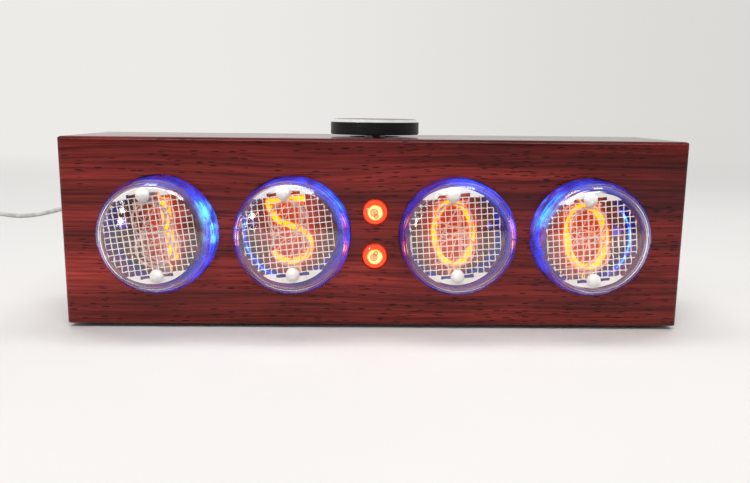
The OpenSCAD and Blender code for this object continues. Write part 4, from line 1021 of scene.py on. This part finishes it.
def soft_light(name, size, at, towards, power, in_mirrors):
    """A rectangular softbox."""
    lamp = bpy.data.lights.new(name, "AREA")
    lamp.shape = "RECTANGLE"
    lamp.size, lamp.size_y = size
    lamp.energy = power
    light = bpy.data.objects.new(name, lamp)
    bpy.context.scene.collection.objects.link(light)
    light.location = at
    light.rotation_euler = (Vector(at) - Vector(towards)).to_track_quat("Z", "Y").to_euler()
    light.visible_glossy = in_mirrors
    light.visible_camera = False


class CLOCK_OT_stage(bpy.types.Operator):
    """Add the floor, backdrop, soft lights and camera."""
    bl_idname = "clock.stage"
    bl_label = "Stage"

    def execute(self, context):
        scene = context.scene
        colours = scene.clock_colours
        scene.view_settings.view_transform = "Standard"

        camera = bpy.data.cameras.new("clock_camera")
        camera.lens = CAMERA_LENS
        camera.sensor_width = SENSOR_WIDTH
        camera.sensor_fit = "HORIZONTAL"
        camera.clip_start = 0.01
        view = bpy.data.objects.new("clock_camera", camera)
        scene.collection.objects.link(view)
        view.matrix_world = camera_matrix()
        scene.camera = view

        bm = bmesh.new()
        bmesh.ops.create_grid(bm, x_segments=8, y_segments=8, size=4.0)
        mesh = bpy.data.meshes.new("floor")
        bm.to_mesh(mesh)
        bm.free()
        mesh.materials.append(floor_paper(colours))
        ground = bpy.data.objects.new("floor", mesh)
        scene.collection.objects.link(ground)

        # The room is pale behind and beside the clock and dim behind the camera
        world = bpy.data.worlds.new("pale_room")
        scene.world = world
        world.use_nodes = True
        tree = world.node_tree
        direction = add(tree, "TexCoord").outputs["Generated"]
        pale = backdrop_shade(tree, colours, direction)
        depth = add(tree, "SeparateXYZ", direction).outputs["Y"]
        ahead = add(tree, "MapRange", depth, -0.75, -0.1, **SMOOTH)
        mirrored = add(tree, "Mix", ahead, at={6: "#3f3f42", 7: pale}, **IN_COLOUR)
        plain = add(tree, "Mix", seen_or_mirrored(tree),
                    at={6: "#a2a2a3", 7: pale}, **IN_COLOUR)
        glossy = add(tree, "LightPath").outputs["Is Glossy Ray"]
        shade = add(tree, "Mix", glossy, at={6: plain, 7: mirrored}, **IN_COLOUR)
        fill(tree.nodes["Background"], Color=shade, Strength=1.0)

        for name, settings in SOFTBOXES.items():
            soft_light(name, *settings)
        return {"FINISHED"}


# ------------------------------------------------------------------ panel and main

STEPS = ("stage", "lead", "case", "tubes", "glow", "colon", "electronics", "knob")


class CLOCK_PT_panel(bpy.types.Panel):
    """Lists the clock's operators and settings in the sidebar."""
    bl_idname = "CLOCK_PT_panel"
    bl_label = "Glow Tube Clock"
    bl_space_type = "VIEW_3D"
    bl_region_type = "UI"
    bl_category = "Clock"

    def draw(self, context):
        layout = self.layout
        for group in (context.scene.clock_sizes, context.scene.clock_colours):
            box = layout.box()
            for name in group.__annotations__:
                box.prop(group, name)
        for step in STEPS:
            layout.operator(f"clock.{step}")


CLASSES = (
    ClockSizes, ClockColours, CLOCK_OT_case, CLOCK_OT_tubes, CLOCK_OT_glow, CLOCK_OT_colon,
    CLOCK_OT_electronics, CLOCK_OT_knob, CLOCK_OT_lead, CLOCK_OT_stage, CLOCK_PT_panel,
)


def register():
    for cls in CLASSES:
        bpy.utils.register_class(cls)
    bpy.types.Scene.clock_sizes = PointerProperty(type=ClockSizes)
    bpy.types.Scene.clock_colours = PointerProperty(type=ClockColours)


def unregister():
    del bpy.types.Scene.clock_colours
    del bpy.types.Scene.clock_sizes
    for cls in reversed(CLASSES):
        bpy.utils.unregister_class(cls)


def main():
    register()
    for step in STEPS:
        getattr(bpy.ops.clock, step)()


if __name__ == "__main__":
    main()
